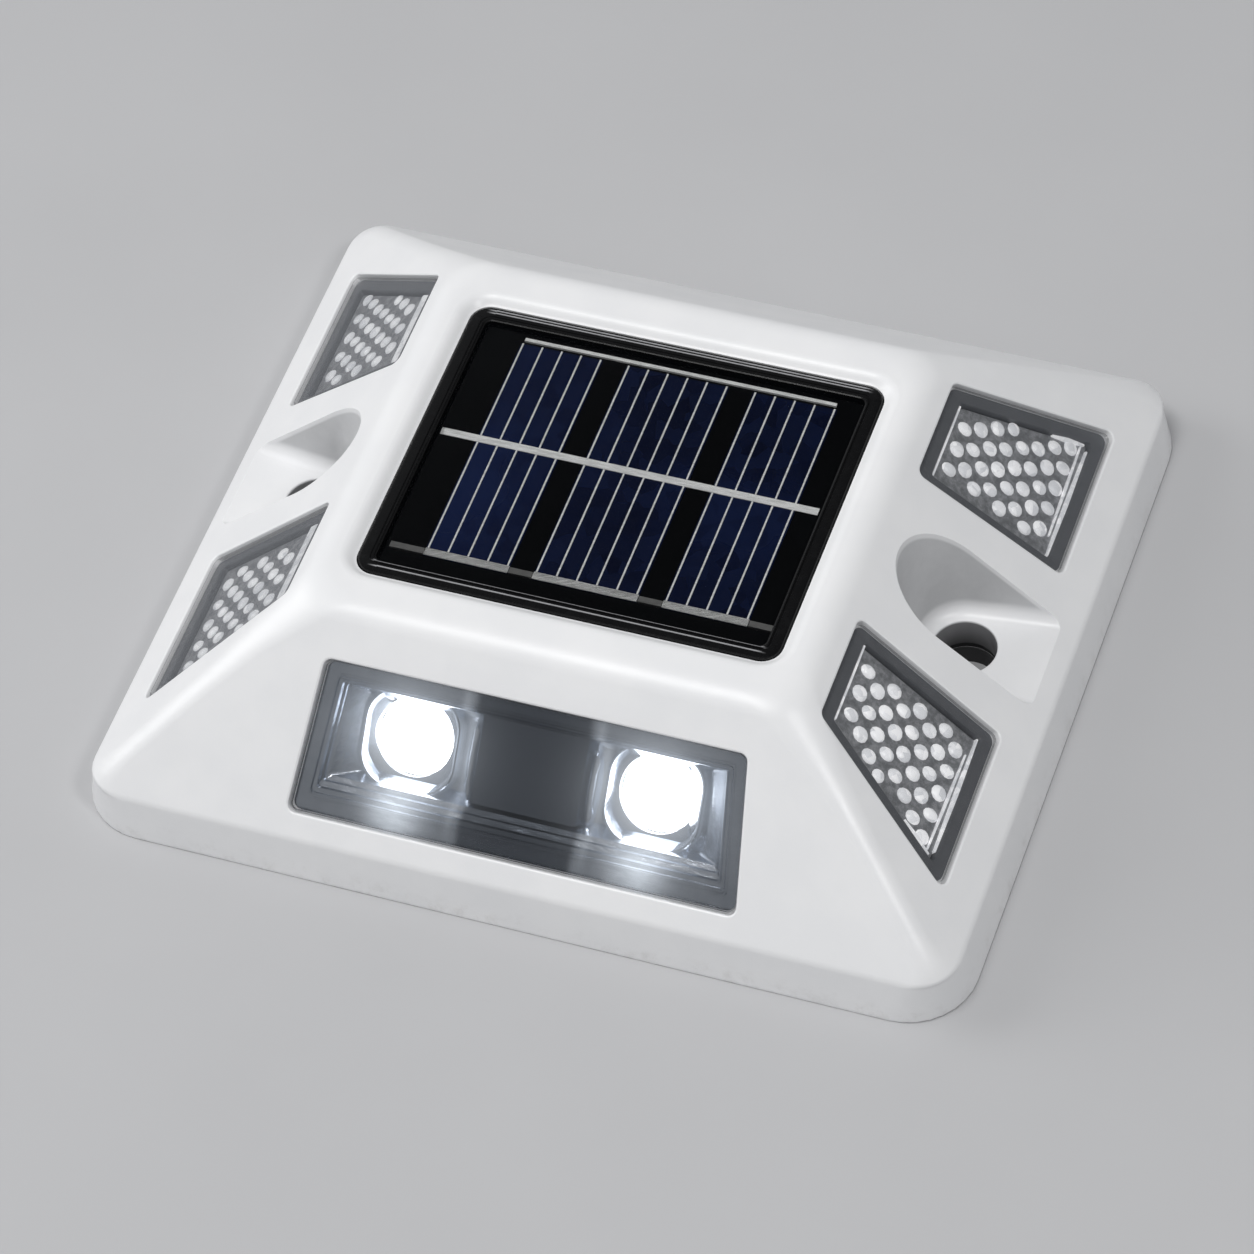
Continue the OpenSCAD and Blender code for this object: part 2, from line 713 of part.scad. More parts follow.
// From the two ends of the battery to the main board
module battery_wires() {
    end_x = holder_in / 2 - contact_t / 2;
    top = battery_z + contact_h / 2 + solder;
    pad_x = board_w / 2 - 2;
    pad_y = board_y - 3.5;
    color("red") for (s = [-1, 1])
        wire([[s * end_x, battery_y, top], [s * end_x, battery_y, top + 1], [s * end_x, battery_y, top + 2],
            [s * (end_x - 1), battery_y + 7, top + 3], [s * pad_x, pad_y - 1.5, board_top + 4.5],
            [s * pad_x, pad_y, board_top + 2], [s * pad_x, pad_y, board_top + 1],
            [s * pad_x, pad_y, board_top + solder]],
            [1, 0, 0]);
}

// Solder point in the middle of the front light board's inner face, moved by dx and lifted off by d
function light_pad(dx, d) = let (depth = light_base + pcb_t + d)
    [dx, -foot_y + led_up * cos(front_a) + depth * sin(front_a),
        skirt_h + led_up * sin(front_a) - depth * cos(front_a)];

// Over the battery, from the front light board to the main board
module light_wires_front() {
    over_z = battery_z + battery_r + 1.5;
    pad_y = board_y - 5;
    color("black") for (k = [0, 1]) let (x = board_w / 2 - 10.2 + k * wire_gap)
        wire([light_pad(x, solder), light_pad(x, 1), light_pad(x, 2),
            [x, battery_y - battery_r - 3.2, battery_z + 1.5],
            [x, battery_y - 0.6 * battery_r - 1.5, over_z - 1.2], [x, battery_y, over_z],
            [x, battery_y + 0.8 * battery_r + 1, over_z - 2],
            [x, pad_y, board_top + 3], [x, pad_y, board_top + 1.5], [x, pad_y, board_top + solder]],
            [1, 0, 0]);
}

top_shell();
base_plate();
base_gasket();
tube_seals();
base_screws();
panel_bezel();
panel_seal();
panel_board();
solar_cells();
cell_fingers();
bus_bars();
link_ribbons();
panel_glass();
window_front();
light_tray_front();
lights_front();
light_board_front();
light_screws_front();
cover_front_left();
cover_front_right();
cover_back_left();
cover_back_right();
beads_front_left();
beads_front_right();
beads_back_left();
beads_back_right();
cup_front_left();
cup_front_right();
cup_back_left();
cup_back_right();
battery();
battery_holder();
battery_contacts();
main_board();
board_screws();
controller_chip();
coil();
capacitor();
panel_wires();
battery_wires();
light_wires_front();
switch_body();
power_button();
button_ring();
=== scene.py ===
import math

import bmesh
import bpy
from mathutils import Matrix, Vector


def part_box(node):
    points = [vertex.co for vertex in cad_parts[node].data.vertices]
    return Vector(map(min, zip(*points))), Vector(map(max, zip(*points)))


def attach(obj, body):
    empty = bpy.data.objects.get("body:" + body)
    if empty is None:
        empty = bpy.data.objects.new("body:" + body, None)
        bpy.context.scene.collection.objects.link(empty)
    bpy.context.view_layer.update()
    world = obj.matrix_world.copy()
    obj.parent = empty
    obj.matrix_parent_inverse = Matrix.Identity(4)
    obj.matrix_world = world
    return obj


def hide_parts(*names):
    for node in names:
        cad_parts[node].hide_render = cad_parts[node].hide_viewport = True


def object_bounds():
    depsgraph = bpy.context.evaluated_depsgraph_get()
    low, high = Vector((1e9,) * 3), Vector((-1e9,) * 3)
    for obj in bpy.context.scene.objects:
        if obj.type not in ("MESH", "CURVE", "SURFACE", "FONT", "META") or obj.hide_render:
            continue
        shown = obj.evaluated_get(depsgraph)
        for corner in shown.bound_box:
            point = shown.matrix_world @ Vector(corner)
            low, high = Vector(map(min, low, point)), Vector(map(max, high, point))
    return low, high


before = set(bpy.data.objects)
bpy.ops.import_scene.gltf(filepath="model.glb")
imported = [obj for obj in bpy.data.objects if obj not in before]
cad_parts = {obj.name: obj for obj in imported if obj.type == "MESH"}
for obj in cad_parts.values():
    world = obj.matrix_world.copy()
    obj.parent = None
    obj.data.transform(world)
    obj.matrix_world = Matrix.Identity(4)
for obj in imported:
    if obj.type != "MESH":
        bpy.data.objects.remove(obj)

cad_low, cad_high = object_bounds()

# Shapes are made in millimetres in the frame of the CAD, and finish_piece takes them to metres.
MM = 0.001

# ---- sizes of the body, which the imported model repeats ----
shell_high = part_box("top_shell")[1] / MM
HALF_X, HALF_Y, BODY_H = shell_high.x, shell_high.y, shell_high.z
SKIRT_H = 6.4
SKIRT_DRAFT = 1.6
TOP_X, TOP_Y = 33, 29.7
RIDGE_R = 5
WALL = 2.6
FOOT_X, FOOT_Y = HALF_X - SKIRT_DRAFT, HALF_Y - SKIRT_DRAFT
RISE = BODY_H - SKIRT_H
RUN_X, RUN_Y = FOOT_X - TOP_X, FOOT_Y - TOP_Y
SIDE_A, FRONT_A = math.atan2(RISE, RUN_X), math.atan2(RISE, RUN_Y)
SIDE_LEN = math.hypot(RISE, RUN_X)
SEAL_R = 5.8
HOLE_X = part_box("tube_seals")[1].x / MM - SEAL_R
HOLE_R = 4.2
POCKET_FLOOR = 8.5
POCKET_R = 5.9
POCKET_MOUTH = 8
POCKET_DRAFT = 0.13
TUB_WALL = 1.8
RIM_X, RIM_Y = HALF_X - 3, HALF_Y - 3
SHELF_Z = 4
SEAT_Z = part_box("panel_seal")[0].z / MM
CEILING_Z = SEAT_Z - 2
bezel_low, bezel_high = (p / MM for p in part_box("panel_bezel"))
BEZEL_X, BEZEL_Y = bezel_high.x, bezel_high.y
POSTS = [(x, y) for x in (-50.2, 50.2) for y in (-42.7, 42.7)]
POST_R = 3
PILOT_R, PILOT_TOP = 1.35, 9.3
WIRE_HOLE, WIRE_HOLE_R = (6, 16), 2.4
# Ribs that stand on the bezel: the side they are on, front first, and how far in from its edge
BEZEL_RIBS = ((-1, 1.18), (1, 0.62), (1, 1.05))

# How far below a slope the ledge of its openings is
LEDGE = 1.5

# Corners of the lit window and of a side reflector on their own slopes, anticlockwise, and their places
WINDOW_FOOT = 3.6
WINDOW = [(-30, WINDOW_FOOT), (30, WINDOW_FOOT), (28.05, 23.8), (-28.05, 23.8)]
LIGHTS = [(-16.4, 15.4), (16.4, 15.4)]
LIGHT_R, LIGHT_Z = 5, -6.9


def hip_y(s):
    return TOP_Y + (SIDE_LEN - s) * RUN_Y / SIDE_LEN


REFLECTOR = [(-30.1, -12.3), (-30.1, 4.4 - hip_y(30.1)), (-5.8, 9.3 - hip_y(5.8)), (-5.8, -13.6)]
FRONT_SLOPE = Matrix.Translation((0, -FOOT_Y, SKIRT_H)) @ Matrix.Rotation(FRONT_A, 4, "X")
SIDE_SLOPE = Matrix.Translation((FOOT_X, 0, SKIRT_H)) @ Matrix.Rotation(SIDE_A, 4, "Y")
CORNERS = {"front_left": (-1, 1), "front_right": (1, 1), "back_left": (-1, -1), "back_right": (1, -1)}


# ---- working by hand ----
# Outlines are bridged this far apart, so that two at one height don't twist, and then moved to their heights
APART = 100


def leave_edit():
    if bpy.context.mode != "OBJECT":
        bpy.ops.object.mode_set(mode="OBJECT")


def take(*pieces):
    """Selects these objects alone, the first one active."""
    leave_edit()
    bpy.ops.object.select_all(action="DESELECT")
    for piece in pieces:
        piece.select_set(True)
    if pieces:
        bpy.context.view_layer.objects.active = pieces[0]


def edit(piece):
    take(piece)
    bpy.ops.object.mode_set(mode="EDIT")


def pick(piece, kind, test=lambda part: True):
    """Selects the vertices, edges or faces that pass a test, in edit mode."""
    bpy.context.tool_settings.mesh_select_mode = (kind == "VERT", kind == "EDGE", kind == "FACE")
    bpy.ops.mesh.select_all(action="DESELECT")
    mesh = bmesh.from_edit_mesh(piece.data)
    for part in {"VERT": mesh.verts, "EDGE": mesh.edges, "FACE": mesh.faces}[kind]:
        if test(part):
            part.select_set(True)
    mesh.select_flush_mode()
    bmesh.update_edit_mesh(piece.data)


def inset_corners(corners, depth):
    """The corners of a convex outline moved in by depth from every side, or by a depth for each side."""
    n = len(corners)
    depths = depth if isinstance(depth, (list, tuple)) else [depth] * n
    lines = []
    for i in range(n):
        a, b = Vector(corners[i]), Vector(corners[(i + 1) % n])
        along = (b - a).normalized()
        inward = Vector((-along.y, along.x))
        lines.append((a + inward * depths[i], along))
    moved = []
    for i in range(n):
        (p, u), (q, v) = lines[i - 1], lines[i]
        cross = u.x * v.y - u.y * v.x
        t = ((q - p).x * v.y - (q - p).y * v.x) / cross
        moved.append(tuple(p + u * t))
    return moved


def rectangle(half_x, half_y):
    return [(-half_x, -half_y), (half_x, -half_y), (half_x, half_y), (-half_x, half_y)]


def plate(corners, radius, height, steps=6):
    """A flat face with rounded corners."""
    take()
    n = len(corners)
    middle = sum((Vector(c) for c in corners), Vector((0, 0))) / n
    bpy.ops.mesh.primitive_circle_add(vertices=n, radius=1, fill_type="NGON", location=(0, 0, 0))
    flat = bpy.context.object
    order = sorted(flat.data.vertices, key=lambda v: math.atan2(v.co.y, v.co.x))
    goals = sorted(corners, key=lambda c: math.atan2(c[1] - middle.y, c[0] - middle.x))
    edit(flat)
    for vertex, goal in zip([v.index for v in order], goals):
        pick(flat, "VERT", lambda v: v.index == vertex)
        here = bmesh.from_edit_mesh(flat.data).verts
        here.ensure_lookup_table()
        step = Vector((goal[0], goal[1], height)) - here[vertex].co
        bpy.ops.transform.translate(value=step)
    for i, corner in enumerate(corners):
        a, b, c = Vector(corners[i - 1]), Vector(corner), Vector(corners[(i + 1) % n])
        angle = (a - b).angle(c - b)
        spot = Vector((corner[0], corner[1], height))
        pick(flat, "VERT", lambda v: (v.co - spot).length < 1e-3)
        bpy.ops.mesh.bevel(offset=radius / math.tan(angle / 2), offset_type="OFFSET", affect="VERTICES",
                           segments=steps, profile=0.5, clamp_overlap=False)
    leave_edit()
    return flat


def close_up(piece):
    """Merges doubles and turns every face outwards."""
    edit(piece)
    pick(piece, "VERT")
    bpy.ops.mesh.remove_doubles(threshold=1e-4)
    bpy.ops.mesh.normals_make_consistent(inside=False)
    leave_edit()


def stack(name, plates, open_ends=False):
    """One skin over flat outlines, in the order given, closed at both ends."""
    base = plates[0]
    heights = [each.data.vertices[0].co.z for each in plates]
    for k, each in enumerate(plates):
        place(each, Matrix.Translation((0, 0, k * APART - heights[k])))
    take(*plates)
    bpy.ops.object.join()
    base.name = name
    edit(base)
    pick(base, "FACE")
    bpy.ops.mesh.delete(type="ONLY_FACE")
    for k in range(len(plates) - 1):
        low, high = (k - 0.5) * APART, (k + 1.5) * APART
        pick(base, "EDGE", lambda e: low < e.verts[0].co.z < high and low < e.verts[1].co.z < high
             and abs(e.verts[0].co.z - e.verts[1].co.z) < 1)
        bpy.ops.mesh.bridge_edge_loops()
    top = (len(plates) - 1.5) * APART
    ends = (lambda v: v.co.z < 0.5 * APART, lambda v: v.co.z > top)
    if open_ends:
        pick(base, "EDGE", lambda e: any(all(end(v) for v in e.verts) for end in ends))
        bpy.ops.mesh.bridge_edge_loops()
    else:
        for end in ends:
            pick(base, "EDGE", lambda e: all(end(v) for v in e.verts))
            bpy.ops.mesh.edge_face_add()
    pick(base, "FACE")
    bpy.ops.mesh.normals_make_consistent(inside=False)
    layer = [round(v.co.z / APART) for v in bmesh.from_edit_mesh(base.data).verts]
    for k, height in enumerate(heights):
        pick(base, "VERT", lambda v: layer[v.index] == k)
        bpy.ops.transform.translate(value=(0, 0, height - k * APART))
    pick(base, "FACE")
    if bmesh.from_edit_mesh(base.data).calc_volume(signed=True) < 0:
        bpy.ops.mesh.flip_normals()
    leave_edit()
    return base


def slab(name, corners, levels, steps=6, ring=False):
    """A solid over one outline. Each level is how far it is moved in, its corner radius and its height."""
    return stack(name, [plate(inset_corners(corners, d), r, z, steps) for d, r, z in levels], ring)


def lathe(name, profile, steps=48):
    """A round solid, spun from (radius, height) points."""
    take()
    bpy.ops.mesh.primitive_plane_add(size=1, location=(0, 0, 0))
    turned = bpy.context.object
    turned.name = name
    edit(turned)
    pick(turned, "VERT")
    bpy.ops.mesh.merge(type="CENTER")
    bpy.ops.transform.translate(value=(profile[0][0], 0, profile[0][1]))
    for (r0, z0), (r1, z1) in zip(profile, profile[1:]):
        bpy.ops.mesh.extrude_region_move(TRANSFORM_OT_translate={"value": (r1 - r0, 0, z1 - z0)})
    pick(turned, "VERT")
    bpy.ops.mesh.spin(steps=steps, angle=2 * math.pi, center=(0, 0, 0), axis=(0, 0, 1))
    close_up(turned)
    return turned


def copy_of(piece, name):
    twin = piece.copy()
    twin.data = piece.data.copy()
    twin.name = name
    bpy.context.scene.collection.objects.link(twin)
    return twin


def place(piece, matrix):
    """Moves a mesh for good. A mirrored one is turned outwards again."""
    piece.data.transform(matrix)
    if matrix.determinant() < 0:
        edit(piece)
        pick(piece, "FACE")
        bpy.ops.mesh.flip_normals()
        leave_edit()
    return piece


def mirrored(sx, sy):
    return Matrix.Diagonal((sx, sy, 1, 1))


def joined(name, pieces):
    if len(pieces) > 1:
        take(*pieces)
        bpy.ops.object.join()
    pieces[0].name = name
    return pieces[0]


def combine(piece, cutter, how="DIFFERENCE"):
    """Cuts another solid away from a piece, or joins it on, and applies that."""
    take(piece)
    change = piece.modifiers.new("cut", "BOOLEAN")
    change.operation, change.solver, change.object = how, "EXACT", cutter
    bpy.ops.object.modifier_apply(modifier=change.name)
    bpy.data.objects.remove(cutter)
    return piece


def finish_piece(piece, name, body, replaced, material, smooth=35):
    """Takes a modelled solid to metres, gives it its shading, body and finish, and hides the CAD nodes it
    replaces.
    """
    piece.name = piece.data.name = name
    take(piece)
    piece.data.transform(Matrix.Scale(MM, 4))
    piece.data.materials.clear()
    for each in material if isinstance(material, (list, tuple)) else [material]:
        piece.data.materials.append(each)
    bpy.ops.object.shade_smooth_by_angle(angle=math.radians(smooth), keep_sharp_edges=False)
    change = piece.modifiers.new("normals", "WEIGHTED_NORMAL")
    change.keep_sharp = True
    bpy.ops.object.modifier_apply(modifier=change.name)
    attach(piece, body)
    if replaced:
        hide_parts(*replaced)
    return piece


# ---- finishes ----
class Value:
    """A number, colour or vector in a finish's node tree, for writing its maths."""

    def __init__(self, finish, socket):
        self.finish, self.socket = finish, socket

    def math(self, operation, *others):
        return self.finish.add("ShaderNodeMath", (self,) + others, operation=operation)

    def __add__(self, other):
        return self.math("ADD", other)

    __radd__ = __add__

    def __mul__(self, other):
        return self.math("MULTIPLY", other)

    __rmul__ = __mul__

    def __sub__(self, other):
        return self.math("SUBTRACT", other)

    def __rsub__(self, other):
        return self.finish.add("ShaderNodeMath", (other, self), operation="SUBTRACT")

    def __truediv__(self, other):
        return self.math("DIVIDE", other)

    def __pow__(self, other):
        return self.math("POWER", other)

    def __abs__(self):
        return self.math("ABSOLUTE")

    def least(self, other):
        return self.math("MINIMUM", other)

    def most(self, other):
        return self.math("MAXIMUM", other)

    def over(self, low, high):
        """0 below low, 1 above high, and a soft rise between."""
        return self.finish.add("ShaderNodeMapRange", {0: self, 1: low, 2: high, 3: 0.0, 4: 1.0},
                               interpolation_type="SMOOTHSTEP")


class Finish:
    """One material: a Principled shader and the nodes that vary it."""

    def __init__(self, name, colour=(0.8, 0.8, 0.8), **constants):
        self.material = bpy.data.materials.new(name)
        self.material.use_nodes = True
        self.tree = self.material.node_tree
        self.shader = self.tree.nodes["Principled BSDF"]
        self.output = self.tree.nodes["Material Output"]
        self.shader.inputs["Base Color"].default_value = (*colour, 1)
        for socket, value in constants.items():
            self.shader.inputs[socket.replace("_", " ")].default_value = value

    def add(self, kind, sockets=(), out=0, **settings):
        """A node of this type, its settings, and its sockets' values or links."""
        node = self.tree.nodes.new(kind)
        for key, value in settings.items():
            setattr(node, key, value)
        pairs = sockets.items() if isinstance(sockets, dict) else enumerate(sockets)
        for key, value in pairs:
            self.feed(node.inputs[key], value)
        return Value(self, node.outputs[out])

    def feed(self, socket, value):
        if isinstance(value, Value):
            self.tree.links.new(value.socket, socket)
        elif hasattr(value, "__len__") and len(value) == 3 and socket.type == "RGBA":
            socket.default_value = (*value, 1)
        else:
            socket.default_value = value

    def set(self, **sockets):
        for key, value in sockets.items():
            self.feed(self.shader.inputs[key.replace("_", " ")], value)
        return self

    def place(self):
        return self.add("ShaderNodeTexCoord", out="Object")

    def axis(self, which):
        return self.add("ShaderNodeSeparateXYZ", (self.place(),), out=which)

    def noise(self, size_mm, detail=3, roughness=0.5, stretch=(1, 1, 1)):
        """Cloudy pattern of about this size, between 0 and 1."""
        at = self.place()
        if stretch != (1, 1, 1):
            at = self.add("ShaderNodeMapping", {"Vector": at, "Scale": stretch})
        return self.add("ShaderNodeTexNoise", {"Vector": at, "Scale": 1000 / size_mm, "Detail": detail,
                                               "Roughness": roughness}, out=0)

    def blend(self, factor, low, high):
        return self.add("ShaderNodeMix", {0: factor, 6: low, 7: high}, out=2, data_type="RGBA")

    def bump(self, height, distance_mm):
        return self.add("ShaderNodeBump", {"Height": height, "Distance": distance_mm * MM, "Strength": 1.0})

    def distance(self, point_mm):
        """Distance in millimetres from a point in the object's frame."""
        return self.add("ShaderNodeVectorMath", (self.place(), tuple(Vector(point_mm) * MM)), out="Value",
                        operation="DISTANCE") * 1000

    def see_through(self, opacity):
        """Lets this much of what is behind show: a Transparent shader mixed in by 1 - opacity."""
        clear = self.add("ShaderNodeBsdfTransparent")
        mixed = self.add("ShaderNodeMixShader", (opacity, clear, Value(self, self.shader.outputs[0])))
        self.tree.links.new(mixed.socket, self.output.inputs["Surface"])
        return self


def painted_bore_shade(f, tone):
    """Painted shade in the two screw holes, darker low down."""
    across, along, height = abs(f.axis("X") * 1000), f.axis("Y") * 1000, f.axis("Z") * 1000
    bore = (((across - HOLE_X) ** 2.0 + along ** 2.0) ** 0.5).over(HOLE_R + 0.3, HOLE_R + 0.1)
    dark = f.blend(height.over(3, 8.2), (0.03, 0.03, 0.032), (0.3, 0.3, 0.31))
    return f.blend(bore * (1 - height.over(8.1, 8.5)), tone, dark)


def moulded_white():
    f = Finish("white moulded ABS", Roughness=0.3, Specular_IOR_Level=0.5)
    cloud = f.noise(9, 3)
    grain = f.noise(0.55, 4, 0.65)
    ripple = f.noise(14, 2)
    grime_and_shade = f.noise(2.2, 5, 0.7)
    low = 1 - f.axis("Z").over(0.0002, 0.004)
    tone = f.blend(cloud.over(0.35, 0.7), (0.86, 0.862, 0.872), (0.89, 0.89, 0.897))
    tone = f.blend(low * grime_and_shade.over(0.45, 0.75) * 0.5, tone, (0.66, 0.65, 0.64))
    # painted shade on the walls of the pockets, varied by the grime noise, and painted shade in the holes
    across, along, height = abs(f.axis("X") * 1000), abs(f.axis("Y") * 1000), f.axis("Z") * 1000
    depth = ((FOOT_X - across) * (RISE / RUN_X) + SKIRT_H - height) * math.cos(SIDE_A)
    outside = across.over(34, 36) * (1 - along.over(9.5, 10)) * (1 - across.over(59, 59.5))
    wall = outside * depth.over(0.35, 0.8) * height.over(9.8, 11.0)
    tone = f.blend(wall * (0.55 + 0.25 * grime_and_shade), tone, (0.47, 0.475, 0.485))
    tone = painted_bore_shade(f, tone)
    f.set(Base_Color=tone, Roughness=0.25 + 0.14 * grime_and_shade, Normal=f.bump(grain * 0.35 + ripple, 0.035))
    return f.material


# ---- white shell ----
def slope_half(z, foot, run, top, angle):
    """Half-width of a slope that is rounded into the flat top."""
    if z <= BODY_H - RIDGE_R * (1 - math.cos(angle)):
        return foot - (z - SKIRT_H) * run / RISE
    return top - RIDGE_R * math.tan(angle / 2) + math.sqrt(max(0, RIDGE_R ** 2 - (z - BODY_H + RIDGE_R) ** 2))


def body_level(z):
    if z < SKIRT_H:
        lean = SKIRT_DRAFT * z / SKIRT_H
        return HALF_X - lean, HALF_Y - lean
    return slope_half(z, FOOT_X, RUN_X, TOP_X, SIDE_A), slope_half(z, FOOT_Y, RUN_Y, TOP_Y, FRONT_A)


def skirt_edge(t):
    """A rounded edge between the skirt and the slopes, from 0 to 1."""
    low, high = 0.55, 0.42
    (ax, ay), (cx, cy) = body_level(SKIRT_H - low), body_level(SKIRT_H + high)
    weights = (1 - t) ** 2, 2 * t * (1 - t), t * t
    x = weights[0] * ax + weights[1] * FOOT_X + weights[2] * cx
    y = weights[0] * ay + weights[1] * FOOT_Y + weights[2] * cy
    return x, y, weights[0] * (SKIRT_H - low) + weights[1] * SKIRT_H + weights[2] * (SKIRT_H + high)


# Corner radius of the body by height: wide at the road, tight along the hips, wide again at the top
CORNER_BY_Z = [(0, 9), (5.8, 6.2), (6.8, 4.4), (8, 3), (10, 2.3),
               (18, 2.4), (23, 3.2), (26, 4.8), (28, 6), (29, 6.6)]


def corner_r(z):
    for (z0, r0), (z1, r1) in zip(CORNER_BY_Z, CORNER_BY_Z[1:]):
        if z <= z1:
            return r0 + (r1 - r0) * (z - z0) / (z1 - z0)
    return CORNER_BY_Z[-1][1]


def body_block():
    levels = [(HALF_X - 0.5, HALF_Y - 0.5, 0), (HALF_X - 0.15, HALF_Y - 0.15, 0.12), (*body_level(0.5), 0.5)]
    levels += [(*body_level(3), 3)]
    levels += [skirt_edge(k / 6) for k in range(7)]
    levels += [(*body_level(z), z) for z in (7.4, 8, 9, 10, 14, 18, 20.5, 23, 24.5, 26)]
    ridge = max(SIDE_A, FRONT_A)
    heights = [BODY_H - RIDGE_R * (1 - math.cos(ridge * (1 - k / 9))) for k in range(10)]
    levels += [(*body_level(z), z) for z in heights if z > 26.2]
    return stack("body", [plate(rectangle(x, y), corner_r(z), z, 8) for x, y, z in levels])


def pocket_block(grow=0.0, foot=0.0):
    """A tapered pocket that is open towards the side; foot rounds its floor into its wall."""
    high = BODY_H - POCKET_FLOOR + grow
    corner = 3
    past = HALF_X + corner
    parts = []
    rounds = ((HOLE_X, 0, POCKET_R), (past, corner - POCKET_MOUTH, corner), (past, POCKET_MOUTH - corner, corner))
    for x, y, r in rounds:
        take()
        bpy.ops.mesh.primitive_cone_add(vertices=72, radius1=r + grow, radius2=r + grow + high * POCKET_DRAFT,
                                        depth=high, location=(x, y, POCKET_FLOOR - grow + high / 2))
        parts.append(bpy.context.object)
    block = joined("pocket", parts)
    bpy.ops.object.transform_apply(location=True, rotation=False, scale=False)
    edit(block)
    pick(block, "VERT")
    bpy.ops.mesh.convex_hull()
    bpy.ops.mesh.tris_convert_to_quads(face_threshold=math.radians(2), shape_threshold=math.radians(170))
    pick(block, "FACE", lambda f: abs(f.normal.z) > 0.99)
    bpy.ops.mesh.dissolve_faces()
    if foot:
        low = POCKET_FLOOR - grow + 0.01
        pick(block, "EDGE", lambda e: e.verts[0].co.z < low and e.verts[1].co.z < low)
        bpy.ops.mesh.bevel(offset=foot, segments=6, affect="EDGES", profile=0.5)
    leave_edit()
    close_up(block)
    return block


def tinted(piece, index):
    """Marks a solid's faces, so that the edges it cuts can be found again."""
    while len(piece.data.materials) < 2:
        piece.data.materials.append(None)
    for face in piece.data.polygons:
        face.material_index = index
    return piece


def flared_hole(radius, low, high):
    flare = 0.35
    return lathe("hole", [(0, low), (radius, low), (radius, high - flare),
                          (radius + 0.1 * flare, high - 0.5 * flare), (radius + 0.35 * flare, high - 0.18 * flare),
                          (radius + flare, high + 0.01), (radius + flare, high + 0.5), (0, high + 0.5)], 64)


def slope_opening(corners):
    """A cutter with a softly flared rim, a ledge for a cover and a hole behind it."""
    wide = slab("opening", corners, [(-0.55, 1.5, 4), (-0.55, 1.5, 0.02), (-0.36, 1.31, -0.03),
                                     (-0.2, 1.15, -0.14), (-0.15, 1.1, -0.32), (-0.15, 1.1, -LEDGE)])
    deep = slab("hole", corners, [(1.5, 0.7, 0), (1.5, 0.7, -WALL - 3)])
    return combine(wide, deep, "UNION")


def make_shell():
    body = tinted(body_block(), 0)
    for side in (1, -1):
        pocket = pocket_block(0, 1.4)
        if side < 0:
            place(pocket, mirrored(-1, 1))
        combine(body, tinted(pocket, 1))
    edit(body)
    pick(body, "EDGE", lambda e: len({face.material_index for face in e.link_faces}) == 2
         and e.calc_face_angle(0) > math.radians(14))
    bpy.ops.mesh.bevel(offset=0.45, segments=3, affect="EDGES", profile=0.5, clamp_overlap=True)
    leave_edit()
    # seat of the solar panel, with a softly dished lip
    lip = [(2.1, 30), (2.1, 28.995), (1.8, 28.96), (1.45, 28.85), (1.1, 28.66),
           (0.8, 28.42), (0.55, 28.2), (0.35, 28.06), (0.15, 28.0), (0.15, SEAT_Z)]
    outline = rectangle(BEZEL_X, BEZEL_Y)
    combine(body, slab("seat", outline, [(-d, 2.6 + d, z) for d, z in lip], 8))
    # the room inside, less what stands in it
    levels = []
    for z in (SHELF_Z - 0.01, SKIRT_H + 0.6, CEILING_Z):
        x = min(RIM_X - 2.4, FOOT_X - (z - SKIRT_H) * RUN_X / RISE - WALL / math.sin(SIDE_A))
        y = min(RIM_Y - 2.4, FOOT_Y - (z - SKIRT_H) * RUN_Y / RISE - WALL / math.sin(FRONT_A))
        levels.append(plate(rectangle(x, y), 3.5, z))
    room = stack("room", levels)
    for side in (1, -1):
        tub = pocket_block(TUB_WALL)
        tube_r = HOLE_R + TUB_WALL
        tube = lathe("tube", [(0, 0), (tube_r, 0), (tube_r, POCKET_FLOOR), (0, POCKET_FLOOR)])
        place(tube, Matrix.Translation((HOLE_X, 0, 0)))
        if side < 0:
            place(tub, mirrored(-1, 1))
            place(tube, mirrored(-1, 1))
        combine(room, tub)
        combine(room, tube)
    for x, y in POSTS:
        post = lathe("post", [(0, SHELF_Z - 0.5), (POST_R, SHELF_Z - 0.5), (POST_R, CEILING_Z), (0, CEILING_Z)])
        combine(room, place(post, Matrix.Translation((x, y, 0))))
    combine(body, room)
    combine(body, slab("base seat", rectangle(RIM_X, RIM_Y), [(-0.3, 6.3, -1), (-0.3, 6.3, -0.01), (0, 6, 0.3),
                                                              (0, 6, SHELF_Z)]))
    wire_hole = lathe("hole", [(0, CEILING_Z - 1), (WIRE_HOLE_R, CEILING_Z - 1), (WIRE_HOLE_R, SEAT_Z + 1),
                               (0, SEAT_Z + 1)])
    combine(body, place(wire_hole, Matrix.Translation((*WIRE_HOLE, 0))))
    for side in (1, -1):
        hole = flared_hole(HOLE_R, SHELF_Z - 1, POCKET_FLOOR)
        combine(body, place(hole, Matrix.Translation((side * HOLE_X, 0, 0))))
    for x, y in POSTS:
        pilot = lathe("pilot", [(0, 0), (PILOT_R, 0), (PILOT_R, PILOT_TOP), (0, PILOT_TOP)], 24)
        combine(body, place(pilot, Matrix.Translation((x, y, 0))))
    combine(body, place(slope_opening(WINDOW), FRONT_SLOPE))
    for sx, sy in CORNERS.values():
        combine(body, place(slope_opening(REFLECTOR), mirrored(sx, sy) @ SIDE_SLOPE))
    return finish_piece(body, "moulded_shell", "housing", ["top_shell"], moulded_white(), 32)


